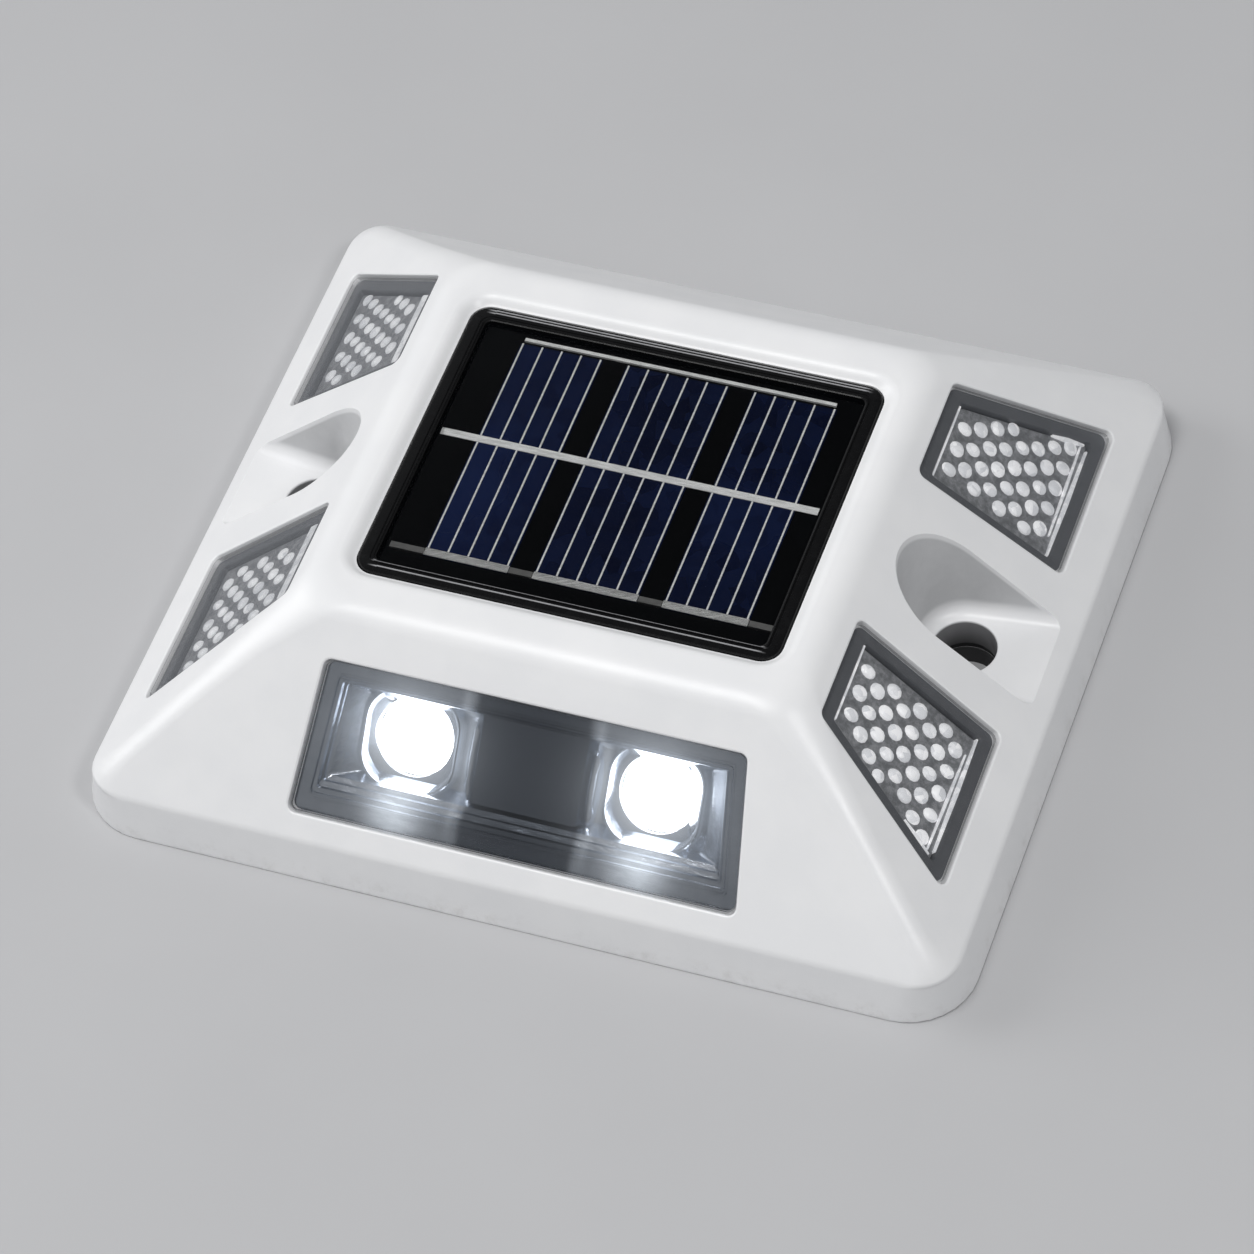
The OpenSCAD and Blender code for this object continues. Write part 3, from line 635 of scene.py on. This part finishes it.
# ---- finishes of the other pieces ----
def dark_plastic(name, colour, rough):
    f = Finish(name, colour, Specular_IOR_Level=0.45)
    grain = f.noise(0.35, 4, 0.6)
    dust = f.noise(1.7, 5, 0.7)
    light = tuple(min(1, c * 1.8 + 0.01) for c in colour)
    f.set(Base_Color=f.blend(dust.over(0.5, 0.85) * 0.6, colour, light), Roughness=rough + 0.16 * dust,
          Normal=f.bump(grain, 0.012))
    return f.material


def bezel_plastic():
    """Glossy black, with painted highlights along its ridges at the front and back."""
    f = Finish("black bezel", Specular_IOR_Level=0.3)
    x, y = abs(f.axis("X") * 1000), f.axis("Y") * 1000
    dust = f.noise(1.7, 5, 0.7)
    # painted highlight lines on the ridges, faded towards the ends and varied by the dust noise
    lines = None
    for side, depth in BEZEL_RIBS + ((-1, 2.05),):
        line = 1 - abs(y - side * (BEZEL_Y - depth)).over(0.06, 0.14)
        lines = line if lines is None else lines.most(line)
    lines = lines * (1 - x.over(BEZEL_X - 3, BEZEL_X - 1.6))
    black = f.blend(dust.over(0.55, 0.85) * 0.5, (0.0035, 0.0035, 0.004), (0.014, 0.014, 0.015))
    f.set(Base_Color=f.blend(lines * (0.35 + 0.4 * dust), black, (0.62, 0.62, 0.64)),
          Roughness=0.2 + 0.14 * dust, Normal=f.bump(f.noise(0.35, 4, 0.6), 0.008))
    return f.material


def base_plastic():
    f = Finish("base plate plastic", Specular_IOR_Level=0.4)
    flow = f.noise(18, 3, stretch=(1, 3, 1))
    grain = f.noise(0.4, 4, 0.7)
    dust = f.noise(1.2, 5, 0.75)
    tone = f.blend(flow, (0.7, 0.705, 0.715), (0.78, 0.78, 0.785))
    tone = f.blend(dust.over(0.56, 0.8) * 0.4, tone, (0.5, 0.48, 0.45))
    # painted shade in the two screw holes
    f.set(Base_Color=painted_bore_shade(f, tone), Roughness=0.45 + 0.2 * dust, Normal=f.bump(grain, 0.03))
    return f.material


def rubber():
    f = Finish("seal rubber", Specular_IOR_Level=0.3)
    bloom = f.noise(2.5, 5, 0.7)
    f.set(Base_Color=f.blend(bloom.over(0.4, 0.8), (0.022, 0.022, 0.024), (0.07, 0.07, 0.072)),
          Roughness=0.6 + 0.25 * bloom, Normal=f.bump(f.noise(0.2, 3), 0.02))
    return f.material


def metal(name, colour, rough, brushed=(1, 1, 1)):
    f = Finish(name, Metallic=1.0)
    lines = f.noise(0.25, 3, 0.6, stretch=brushed)
    cloud = f.noise(1.6, 4, 0.65)
    dull = tuple(c * 0.5 for c in colour)
    f.set(Base_Color=f.blend(cloud.over(0.4, 0.8) * 0.35, colour, dull), Roughness=rough + 0.25 * lines,
          Normal=f.bump(lines, 0.006))
    return f.material


def silver_print():
    f = Finish("printed silver", Specular_IOR_Level=0.5)
    grit = f.noise(0.16, 4, 0.7)
    streak = f.noise(0.5, 3, stretch=(0.25, 1.6, 1))
    tone = f.blend(streak.over(0.3, 0.7), (0.72, 0.73, 0.72), (0.93, 0.94, 0.93))
    f.set(Base_Color=f.blend(grit.over(0.62, 0.8) * 0.5, tone, (0.4, 0.4, 0.38)), Roughness=0.35 + 0.2 * grit,
          Normal=f.bump(grit, 0.01))
    return f.material


def silicon():
    f = Finish("blue silicon cell", Specular_IOR_Level=0.45)
    cells = f.add("ShaderNodeTexVoronoi", {"Vector": f.place(), "Scale": 420.0}, out=1)
    tone = f.add("ShaderNodeSeparateColor", (cells,), out=0)
    drift = f.noise(22, 2)
    # the blue is lighter partly at random and partly towards the left, where it is a painted sheen
    left = 1 - (f.axis("X") * 1000).over(-24, 6)
    blue = f.blend(drift.over(0.35, 0.65) * 0.5 + left * 0.5, (0.001, 0.003, 0.018), (0.006, 0.015, 0.07))
    f.set(Base_Color=f.blend(tone * 0.28, blue, (0.012, 0.025, 0.09)), Roughness=0.22 + 0.1 * drift,
          Normal=f.bump(tone, 0.002))
    return f.material


def panel_board_finish():
    f = Finish("black panel board", Specular_IOR_Level=0.08)
    weave = f.noise(0.6, 3)
    cloud = f.noise(9, 3)
    f.set(Base_Color=f.blend(cloud, (0.0008, 0.0009, 0.001), (0.0026, 0.003, 0.0036)),
          Roughness=0.4 + 0.2 * weave, Normal=f.bump(weave, 0.006))
    return f.material


def panel_cover_finish():
    f = Finish("panel cover resin", (0.006, 0.007, 0.009), Specular_IOR_Level=0.5)
    smear = f.noise(6, 4, 0.6)
    specks = f.noise(0.5, 4, 0.8)
    edge = f.add("ShaderNodeFresnel", {"IOR": 1.42})
    f.set(Roughness=0.05 + 0.08 * smear,
          Base_Color=f.blend(specks.over(0.66, 0.8), (0.004, 0.005, 0.007), (0.05, 0.05, 0.054)))
    f.see_through((edge * 1.1 + specks.over(0.7, 0.85) * 0.015 + 0.01).least(1.0))
    return f.material


def glow_of(f, spots, reach):
    """Sum of soft round glows round points in millimetres."""
    total = None
    for spot in spots:
        one = ((f.distance(spot) / reach) ** 2.0 * -1.0).math("EXPONENT")
        total = one if total is None else total + one
    return total


def window_clear(name, spots):
    f = Finish(name, (0.12, 0.13, 0.15), Specular_IOR_Level=0.6)
    smear = f.noise(4, 4, 0.6, stretch=(1, 3, 1))
    edge = f.add("ShaderNodeFresnel", {"IOR": 1.45})
    # painted glow of the lit lights on the pane, put in as emission
    near, far = glow_of(f, spots, 4.2), glow_of(f, spots, 9.0)
    halo = (near * 0.4 + far * 0.1).least(1.0)
    f.set(Roughness=0.04 + 0.1 * smear, Emission_Color=f.blend(halo, (0, 0, 0), (0.9, 0.95, 1.0)))
    f.shader.inputs["Emission Strength"].default_value = 2.2
    f.see_through((0.05 + edge * 0.8 + halo * 0.5).least(1.0))
    return f.material


def mirror_tray(name, spots, spills):
    f = Finish(name, Metallic=1.0)
    waves = f.noise(5, 3, 0.5, stretch=(1, 0.35, 1))
    fine = f.noise(0.8, 3, stretch=(0.3, 1, 1))
    tone = f.blend(f.noise(3, 4), (0.38, 0.41, 0.46), (0.6, 0.63, 0.68))
    across = abs(f.axis("X") * 1000)
    tone = f.blend(1 - across.over(7.0, 8.2), tone, (0.13, 0.145, 0.17))
    # painted light of the lit lights as emission: glows round them, a painted pool of light below them and painted
    # streaks of their reflection on the hollow sides of the middle block
    near, far, spill = glow_of(f, spots, 5.2), glow_of(f, spots, 9.5), glow_of(f, spills, 3.4)
    streak = (((across - 8.9) / 0.7) ** 2.0 * -1.0).math("EXPONENT") * glow_of(f, spots, 7.5)
    lit = near * 0.45 + far * 0.13 + spill * (0.35 + 0.5 * fine) + streak * 0.7
    f.set(Base_Color=tone, Roughness=0.12 + 0.12 * fine, Normal=f.bump(waves + fine * 0.25, 0.12),
          Emission_Color=f.blend(lit.least(1.0), (0, 0, 0), (0.85, 0.92, 1.0)))
    f.shader.inputs["Emission Strength"].default_value = 1.0
    return f.material


def lit_lens():
    f = Finish("lit lens", (0.9, 0.92, 0.95), Specular_IOR_Level=0.5)
    cloud = f.noise(2, 3)
    f.set(Emission_Color=f.blend(cloud, (0.86, 0.93, 1.0), (1.0, 1.0, 1.0)), Roughness=0.1 + 0.1 * cloud)
    f.shader.inputs["Emission Strength"].default_value = 4.0
    return f.material


def cover_clear():
    f = Finish("reflector cover", (0.2, 0.21, 0.23), Specular_IOR_Level=0.25)
    smear = f.noise(3, 4, 0.6)
    edge = f.add("ShaderNodeFresnel", {"IOR": 1.4})
    f.set(Roughness=0.06 + 0.12 * smear)
    f.see_through((0.02 + edge * 0.4 + smear.over(0.6, 0.9) * 0.06).least(1.0))
    return f.material


def bead_glint():
    f = Finish("bead glint", Specular_IOR_Level=0.7)
    facet = f.add("ShaderNodeTexVoronoi", {"Vector": f.place(), "Scale": 900.0}, out=1)
    share = f.add("ShaderNodeSeparateColor", (facet,), out=1)
    cloud = f.noise(5, 3)
    tone = f.blend(share, (0.72, 0.73, 0.76), (0.95, 0.95, 0.97))
    # painted glint: the beads and ribs glow a little through emission, brighter on one side of each facet
    f.set(Base_Color=tone, Roughness=0.16 + 0.2 * cloud, Normal=f.bump(share, 0.05),
          Emission_Color=f.blend(share, (0.55, 0.56, 0.58), (1, 1, 1)))
    f.shader.inputs["Emission Strength"].default_value = 0.36
    return f.material


def bead_bed():
    f = Finish("bead bed", Specular_IOR_Level=0.6, Metallic=0.3)
    cloud = f.noise(1.1, 4, 0.7)
    f.set(Base_Color=f.blend(cloud.over(0.35, 0.7), (0.2, 0.205, 0.215), (0.42, 0.425, 0.44)),
          Roughness=0.25 + 0.2 * cloud, Normal=f.bump(cloud, 0.08))
    return f.material


def cup_grey():
    f = Finish("reflector cup", Specular_IOR_Level=0.5)
    cloud = f.noise(2.4, 4, 0.6)
    grain = f.noise(0.3, 3)
    f.set(Base_Color=f.blend(cloud, (0.075, 0.078, 0.086), (0.125, 0.13, 0.14)), Roughness=0.3 + 0.18 * cloud,
          Normal=f.bump(grain, 0.012))
    return f.material


def circuit_board():
    f = Finish("green circuit board", Specular_IOR_Level=0.5)
    x, y = f.axis("X") * 1000, f.axis("Y") * 1000
    lanes = ((x * 0.9).math("SINE").over(0.86, 0.93)).most((y * 1.1 + 0.6).math("SINE").over(0.9, 0.96))
    broken = f.noise(3, 2).over(0.48, 0.54)
    track = lanes * broken
    dots = f.add("ShaderNodeTexVoronoi", {"Vector": f.place(), "Scale": 260.0}, out=0)
    pads = 1 - dots.over(0.1, 0.13)
    tone = f.blend(track, (0.004, 0.06, 0.022), (0.012, 0.13, 0.05))
    f.set(Base_Color=f.blend(pads, tone, (0.6, 0.55, 0.4)), Metallic=pads * 0.8,
          Roughness=0.3 + 0.15 * f.noise(1, 3), Normal=f.bump(track + pads * 0.5, 0.02))
    return f.material


def cell_wrap():
    f = Finish("battery wrap", Specular_IOR_Level=0.5)
    x = f.axis("X") * 1000
    band = (abs(x + 18).over(2.6, 2.8))
    scuff = f.noise(1.5, 5, 0.7)
    tone = f.blend(band, (0.75, 0.77, 0.8), (0.012, 0.08, 0.22))
    f.set(Base_Color=f.blend(scuff.over(0.6, 0.8) * 0.4, tone, (0.3, 0.36, 0.45)), Roughness=0.25 + 0.2 * scuff,
          Normal=f.bump(f.noise(4, 2, stretch=(0.2, 1, 1)), 0.04))
    return f.material


def winding():
    f = Finish("copper winding", Metallic=1.0)
    turns = (f.axis("Z") * 1000 * 15).math("SINE")
    f.set(Base_Color=f.blend(f.noise(0.8, 3), (0.5, 0.2, 0.09), (0.75, 0.36, 0.18)),
          Roughness=0.3 + 0.1 * turns, Normal=f.bump(turns, 0.06))
    return f.material


# ---- black bezel round the panel ----
def make_bezel():
    outline, top, low = rectangle(BEZEL_X, BEZEL_Y), bezel_high.z, bezel_low.z
    profile = [(0, 2.6, low), (0, 2.6, top - 0.4), (0.06, 2.54, top - 0.18), (0.2, 2.4, top - 0.04),
               (0.38, 2.22, top), (1.5, 1.4, top), (1.58, 1.35, top - 0.13), (1.72, 1.25, top - 0.13),
               (1.8, 1.2, top + 0.02), (1.94, 1.15, top + 0.02), (2.03, 1.1, top - 0.16), (2.2, 1.0, top - 0.22),
               (2.2, 1.0, low)]
    ring = slab("bezel", outline, profile, 8, ring=True)
    for side, depth in BEZEL_RIBS:
        rib = slab("rib", rectangle(BEZEL_X - 2.6, 0.13), [(0, 0.08, top - 0.2), (0, 0.08, top + 0.05),
                                                           (0.05, 0.05, top + 0.11)])
        combine(ring, place(rib, Matrix.Translation((0.4, side * (BEZEL_Y - depth), 0))), "UNION")
    return finish_piece(ring, "black_bezel", "housing", ["panel_bezel"], bezel_plastic(), 30)


# ---- lit window ----
def make_window():
    at = FRONT_SLOPE
    spots = [at @ Vector((x, y, -LEDGE)) for x, y in LIGHTS]
    spills = [at @ Vector((x, WINDOW_FOOT + 2.6, -LEDGE)) for x, y in LIGHTS]
    pane = slab("pane", WINDOW, [(0.15, 0.9, -1.0), (0.15, 0.9, -0.45), (0.22, 0.83, -0.35), (0.36, 0.69, -0.3),
                                 (1.7, 0.6, -0.3), (1.78, 0.6, -0.2), (1.92, 0.55, -0.2), (2.0, 0.5, -0.3)])
    finish_piece(place(pane, at), "clear_window_front", "housing", ["window_front"],
                 window_clear("clear window", spots))
    # bowl with a flange, two fine beads and a wide stepped ledge at the low side
    levels = [(1.65, 0.7, -6.5), (1.65, 0.7, -LEDGE), (0.2, 1.2, -LEDGE), (0.2, 1.2, -1.2),
              ([2.5, 1.75, 1.9, 1.75], 0.5, -1.2), ([2.58, 1.82, 1.98, 1.82], 0.5, -1.05),
              ([2.74, 1.96, 2.12, 1.96], 0.45, -1.05), ([2.82, 2.04, 2.2, 2.04], 0.4, -1.4),
              ([3.25, 2.4, 2.4, 2.4], 0.4, -1.45), ([3.33, 2.46, 2.46, 2.46], 0.4, -1.2),
              ([3.5, 2.58, 2.56, 2.58], 0.35, -1.2), ([3.6, 2.66, 2.62, 2.66], 0.35, -1.9),
              ([4.3, 3.0, 2.8, 3.0], 0.35, -2.1), ([4.42, 3.06, 2.84, 3.06], 0.35, -2.5),
              ([5.1, 3.5, 3.0, 3.5], 0.35, -2.7), ([6.3, 8.2, 4.2, 8.2], 0.6, -5.4)]
    tray = slab("tray", WINDOW, levels)
    # raised block in the middle, with hollow sides that catch the lights
    middle_y, half_y = 15.2, 5.9
    hollow = ((9.6, -5.9), (9.6, -5.4), (8.7, -5.25), (8.0, -4.85),
              (7.5, -4.25), (7.25, -3.5), (7.1, -2.9), (6.9, -2.8))
    block = stack("block", [place(plate(rectangle(x, half_y), 0.3, z), Matrix.Translation((0, middle_y, 0)))
                            for x, z in hollow])
    combine(tray, block, "UNION")
    for x, y in LIGHTS:
        rim = [(0, 4.6, -5.9), (0, 4.6, -5.2), (0.25, 4.4, -3.4), (0.4, 4.3, -3.25),
               (0.6, 4.2, -3.3), (1.0, 4.0, -5.0), (1.0, 4.0, -5.9)]
        cup = slab("cup", rectangle(6.7, 6.9), rim, 8, ring=True)
        combine(tray, place(cup, Matrix.Translation((x, y - 0.3, 0))), "UNION")
        hole_r = LIGHT_R + 0.2
        hole = lathe("hole", [(0, -7), (hole_r, -7), (hole_r, -4), (0, -4)], 48)
        combine(tray, place(hole, Matrix.Translation((x, y, 0))))
        lens = lathe("bar", [(0, 1), (0.45, 0.8), (0.8, 0.35), (0.95, -0.4), (0, -0.4)], 20)
        lens.data.transform(Matrix.Diagonal((1, 5.6, 1, 1)))
        side = 1 if x > 0 else -1
        combine(tray, place(lens, Matrix.Translation((side * 8.1, middle_y - 1, -4.6))), "UNION")
    finish_piece(place(tray, at), "bright_tray_front", "housing", ["light_tray_front"],
                 mirror_tray("bright tray", spots, spills), 30)
    # domed lights on their collars
    domes = []
    collar = LIGHT_R + 0.15
    turns = [math.pi / 2 * k / 9 for k in range(1, 9)]
    arc = [(LIGHT_R * math.cos(a), LIGHT_Z + LIGHT_R * math.sin(a)) for a in turns]
    profile = [(0, -9.5), (LIGHT_R, -9.5), (LIGHT_R, -7.4), (collar, -7.3), (collar, -6.95), (LIGHT_R, LIGHT_Z)]
    for x, y in LIGHTS:
        dome = lathe("dome", profile + arc + [(0, LIGHT_Z + LIGHT_R)], 48)
        domes.append(place(dome, Matrix.Translation((x, y, 0))))
    finish_piece(place(joined("lights", domes), at), "lights_lit_front", "housing", ["lights_front"],
                 lit_lens(), 40)


# ---- side reflectors ----
BEAD_X, BEAD_Y, BEAD_R = 2.19, 3.5, 1.16
BEAD_START = (-21.27, -24.0)
BED_Z = -1.6
RIB_IN, BROAD_RIB = 2.45, 1.4
BROAD_RIB_EDGE = REFLECTOR[0][0] + RIB_IN + BROAD_RIB
RIB_LOW, RIB_HIGH, RIB_SLIM_HIGH = -2.2, -1.1, -1.25


def inside_by(point, corners):
    """How far a point is inside a convex outline."""
    best = 1e9
    for i, a in enumerate(corners):
        a, b = Vector(a), Vector(corners[(i + 1) % len(corners)])
        along = (b - a).normalized()
        best = min(best, (Vector(point) - a).dot(Vector((-along.y, along.x))))
    return best


def bar(start, end, wide, thin, high):
    """A slim rib between two points, wider in its middle."""
    a, b = Vector(start), Vector(end)
    along, across = (b - a).length / 2, thin / 2
    shape = [(-along, -across), (0, -wide / 2), (along, -across), (along, across), (0, wide / 2), (-along, across)]
    rib = slab("rib", shape, [(0, 0.04, RIB_LOW), (0, 0.04, high - 0.08), (thin * 0.25, 0.03, high)], 2)
    turn = math.atan2(b.y - a.y, b.x - a.x)
    return place(rib, Matrix.Translation(((a.x + b.x) / 2, (a.y + b.y) / 2, 0)) @ Matrix.Rotation(turn, 4, "Z"))


def make_reflector(corner, sx, sy, finishes):
    at = mirrored(sx, sy) @ SIDE_SLOPE
    cover = slab("cover", REFLECTOR, [(0.15, 0.9, -0.95), (0.15, 0.9, -0.45),
                                      (0.22, 0.83, -0.35), (0.36, 0.69, -0.3)])
    finish_piece(place(cover, at), "clear_cover_" + corner, "housing", ["cover_" + corner],
                 finishes["cover"])
    border = [2.1, 1.75, 1.8, 1.5]
    levels = [(1.65, 0.7, -5.4), (1.65, 0.7, -LEDGE), (0.2, 1.2, -LEDGE), (0.2, 1.2, -1.0)]
    levels += [([b + more for b in border], r, z)
               for more, r, z in ((0, 0.5, -1.0), (0.12, 0.45, -1.1), (0.3, 0.4, -2.0), (0.36, 0.4, -4.4))]
    cup = slab("cup", REFLECTOR, levels)
    finish_piece(place(cup, at), "grey_cup_" + corner, "housing", ["cup_" + corner],
                 finishes["cup"])
    rim = inset_corners(REFLECTOR, [b + 0.5 for b in border])
    bed = slab("bed", rim, [(0, 0.3, -4.4), (0, 0.3, BED_Z - 0.15), (0.15, 0.25, BED_Z)])
    bed.data.materials.append(finishes["bed"])
    dome = [(BEAD_R, 0), (BEAD_R * 0.86, 0.26), (BEAD_R * 0.5, 0.44), (0, 0.5)]
    model = lathe("bead", [(0, -0.3), (BEAD_R, -0.3)] + dome, 12)
    model.data.materials.append(finishes["glint"])
    beads = []
    for i in range(-6, 10):
        for j in range(-8, 12):
            spot = (BEAD_START[0] + BEAD_X * i, BEAD_START[1] + BEAD_Y * (j + 0.55 * (i % 2)))
            room = inside_by(spot, rim)
            if room < 0.5 or (sx < 0 and spot[0] < BROAD_RIB_EDGE + BEAD_R):
                continue
            bead = copy_of(model, "bead")
            size = min(1, 0.45 + 0.5 * room) * (1 if sx > 0 else 0.9)
            tilt = 0.9 + 0.1 * math.sin(7.3 * i + 3.1 * j)
            place(bead, Matrix.Translation((*spot, BED_Z - 0.02)) @ Matrix.Diagonal((size, size * tilt, size, 1)))
            beads.append(bead)
    bpy.data.objects.remove(model)
    near = [Vector(c) for c in inset_corners(REFLECTOR, [RIB_IN, 2.3, 2.3, 1.9])]
    far = [Vector(c) for c in inset_corners(REFLECTOR, [RIB_IN, 2.3, 3.0, 1.9])]
    if sx > 0:
        ribs = [bar(near[0], near[1], 0.36, 0.28, RIB_HIGH),
                bar(near[2] + Vector((0, 1)), near[3], 0.55, 0.26, RIB_HIGH),
                bar(far[2] + Vector((-0.3, 0.5)), far[3] - Vector((0, 3)), 0.4, 0.2, RIB_SLIM_HIGH),
                bar(near[1].lerp(near[2], 0.72), near[1].lerp(near[2], 0.97), 0.75, 0.3, RIB_SLIM_HIGH)]
    else:
        broad = [near[0], near[1], near[1] + Vector((BROAD_RIB, -0.5)), near[0] + Vector((BROAD_RIB, -0.1))]
        ribs = [slab("rib", broad, [(0, 0.05, BED_Z - 0.1), (0, 0.05, RIB_HIGH - 0.1), (0.1, 0.04, RIB_HIGH)], 2)]
    for rib in ribs:
        rib.data.materials.append(finishes["glint"])
    return place(joined("beads", [bed] + beads + ribs), at)


def make_reflectors():
    finishes = {"cover": cover_clear(), "cup": cup_grey(), "bed": bead_bed(), "glint": bead_glint()}
    for corner, (sx, sy) in CORNERS.items():
        whole = make_reflector(corner, sx, sy, finishes)
        kinds = [face.material_index for face in whole.data.polygons]
        finish_piece(whole, "bead_field_" + corner, "housing", ["beads_" + corner],
                     [finishes["bed"], finishes["glint"]], 60)
        for face, kind in zip(whole.data.polygons, kinds):
            face.material_index = kind


# ---- CAD nodes that stay, with their finishes ----
def paint(finish, *nodes):
    for node in nodes:
        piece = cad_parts[node]
        for each in piece.material_slots:
            each.link, each.material = "OBJECT", finish


make_shell()
make_bezel()
make_window()
make_reflectors()
paint(base_plastic(), "base_plate")
paint(rubber(), "base_gasket", "tube_seals", "panel_seal", "button_ring")
paint(metal("screw steel", (0.62, 0.62, 0.6), 0.25), "base_screws", "light_screws_front", "board_screws")
paint(panel_board_finish(), "panel_board")
paint(silicon(), "solar_cells")
paint(silver_print(), "cell_fingers", "bus_bars")
paint(metal("tinned ribbon", (0.5, 0.5, 0.49), 0.3, (0.2, 2, 1)), "link_ribbons", "battery_contacts")
paint(panel_cover_finish(), "panel_glass")
paint(dark_plastic("black holder plastic", (0.012, 0.012, 0.013), 0.4), "battery_holder", "switch_body")
paint(circuit_board(), "main_board", "light_board_front")
paint(cell_wrap(), "battery")
paint(dark_plastic("chip plastic", (0.01, 0.01, 0.011), 0.45), "controller_chip")
paint(winding(), "coil")
paint(dark_plastic("capacitor sleeve", (0.01, 0.012, 0.05), 0.3), "capacitor")
paint(dark_plastic("red wire", (0.5, 0.01, 0.012), 0.35), "panel_wires", "battery_wires")
paint(dark_plastic("black wire", (0.012, 0.012, 0.013), 0.35), "light_wires_front")
paint(dark_plastic("red button plastic", (0.4, 0.012, 0.012), 0.35), "power_button")


# ---- camera, lights and floor ----
def make_camera():
    """Looks at a point of the object from its right front and above, from far off and a little tilted."""
    turn, rise, roll = math.radians(25.42), math.radians(51.68), math.radians(-7.78)
    aim, away_mm = Vector((1.954, -8.65, 8.571)), 698.0
    back = Vector((math.sin(turn) * math.cos(rise), -math.cos(turn) * math.cos(rise), math.sin(rise)))
    right = Vector((math.cos(turn), math.sin(turn), 0))
    up = back.cross(right)
    axis_x = right * math.cos(roll) + up * math.sin(roll)
    axis_y = up * math.cos(roll) - right * math.sin(roll)
    eye = (aim + back * away_mm) * MM
    lens = bpy.data.cameras.new("camera")
    lens.lens, lens.sensor_width, lens.sensor_fit = 154.53, 36, "HORIZONTAL"
    lens.clip_start, lens.clip_end = 0.01, 20
    camera = bpy.data.objects.new("camera", lens)
    camera.matrix_world = Matrix((axis_x, axis_y, back)).transposed().to_4x4()
    camera.matrix_world.translation = eye
    bpy.context.scene.collection.objects.link(camera)
    bpy.context.scene.camera = camera


def soft_light(name, towards, away_mm, size_mm, watts, shade=(1, 1, 1)):
    """A rectangular lamp that shines on the object from a direction."""
    lamp = bpy.data.lights.new(name, "AREA")
    lamp.shape, lamp.size, lamp.size_y = "RECTANGLE", size_mm[0] * MM, size_mm[1] * MM
    lamp.energy, lamp.color = watts, shade
    light = bpy.data.objects.new(name, lamp)
    way = Vector(towards).normalized()
    light.location = way * away_mm * MM
    light.rotation_euler = way.to_track_quat("Z", "Y").to_euler()
    bpy.context.scene.collection.objects.link(light)


def make_floor():
    take()
    bpy.ops.mesh.primitive_plane_add(size=4, location=(0, 0, cad_low.z))
    floor = bpy.context.object
    floor.name = "studio_floor"
    f = Finish("pale floor", (0.6, 0.6, 0.61), Roughness=0.8)
    f.set(Base_Color=f.blend(f.noise(40, 4), (0.5, 0.5, 0.51), (0.54, 0.54, 0.55)))
    floor.data.materials.append(f.material)
    bpy.ops.object.transform_apply(location=True, rotation=False, scale=False)


def make_sky():
    """An even grey sky, dark where the solar panel would mirror it, with a soft bright patch low on the left."""
    world = bpy.data.worlds.new("studio")
    world.use_nodes = True
    tree = world.node_tree
    background = tree.nodes["Background"]
    way = tree.nodes.new("ShaderNodeTexCoord").outputs["Generated"]

    def patch(direction, low, high, at_low, at_high):
        dot = tree.nodes.new("ShaderNodeVectorMath")
        dot.operation = "DOT_PRODUCT"
        dot.inputs[1].default_value = Vector(direction).normalized()
        tree.links.new(way, dot.inputs[0])
        span = tree.nodes.new("ShaderNodeMapRange")
        span.interpolation_type = "SMOOTHSTEP"
        for k, value in enumerate((low, high, at_low, at_high), 1):
            span.inputs[k].default_value = value
        tree.links.new(dot.outputs["Value"], span.inputs[0])
        return span.outputs[0]

    dark = patch((-0.26, 0.57, 0.78), 0.8, 0.97, 0.3, 0.012)
    glare = patch((-0.78, 0.63, 0), 0.575, 0.615, 0.0, 0.35)
    total = tree.nodes.new("ShaderNodeMath")
    tree.links.new(dark, total.inputs[0])
    tree.links.new(glare, total.inputs[1])
    tree.links.new(total.outputs[0], background.inputs["Strength"])
    background.inputs["Color"].default_value = (0.96, 0.98, 1.0, 1)
    bpy.context.scene.world = world


make_camera()
make_floor()
make_sky()
soft_light("left key", (-0.86, -0.05, 0.5), 900, (520, 420), 2.2)
soft_light("top key", (-0.15, -0.2, 0.95), 950, (360, 360), 3.4)
soft_light("right hip light", (0.5, -0.26, 0.82), 900, (160, 160), 1.5)
bpy.context.scene.view_settings.view_transform = "Standard"
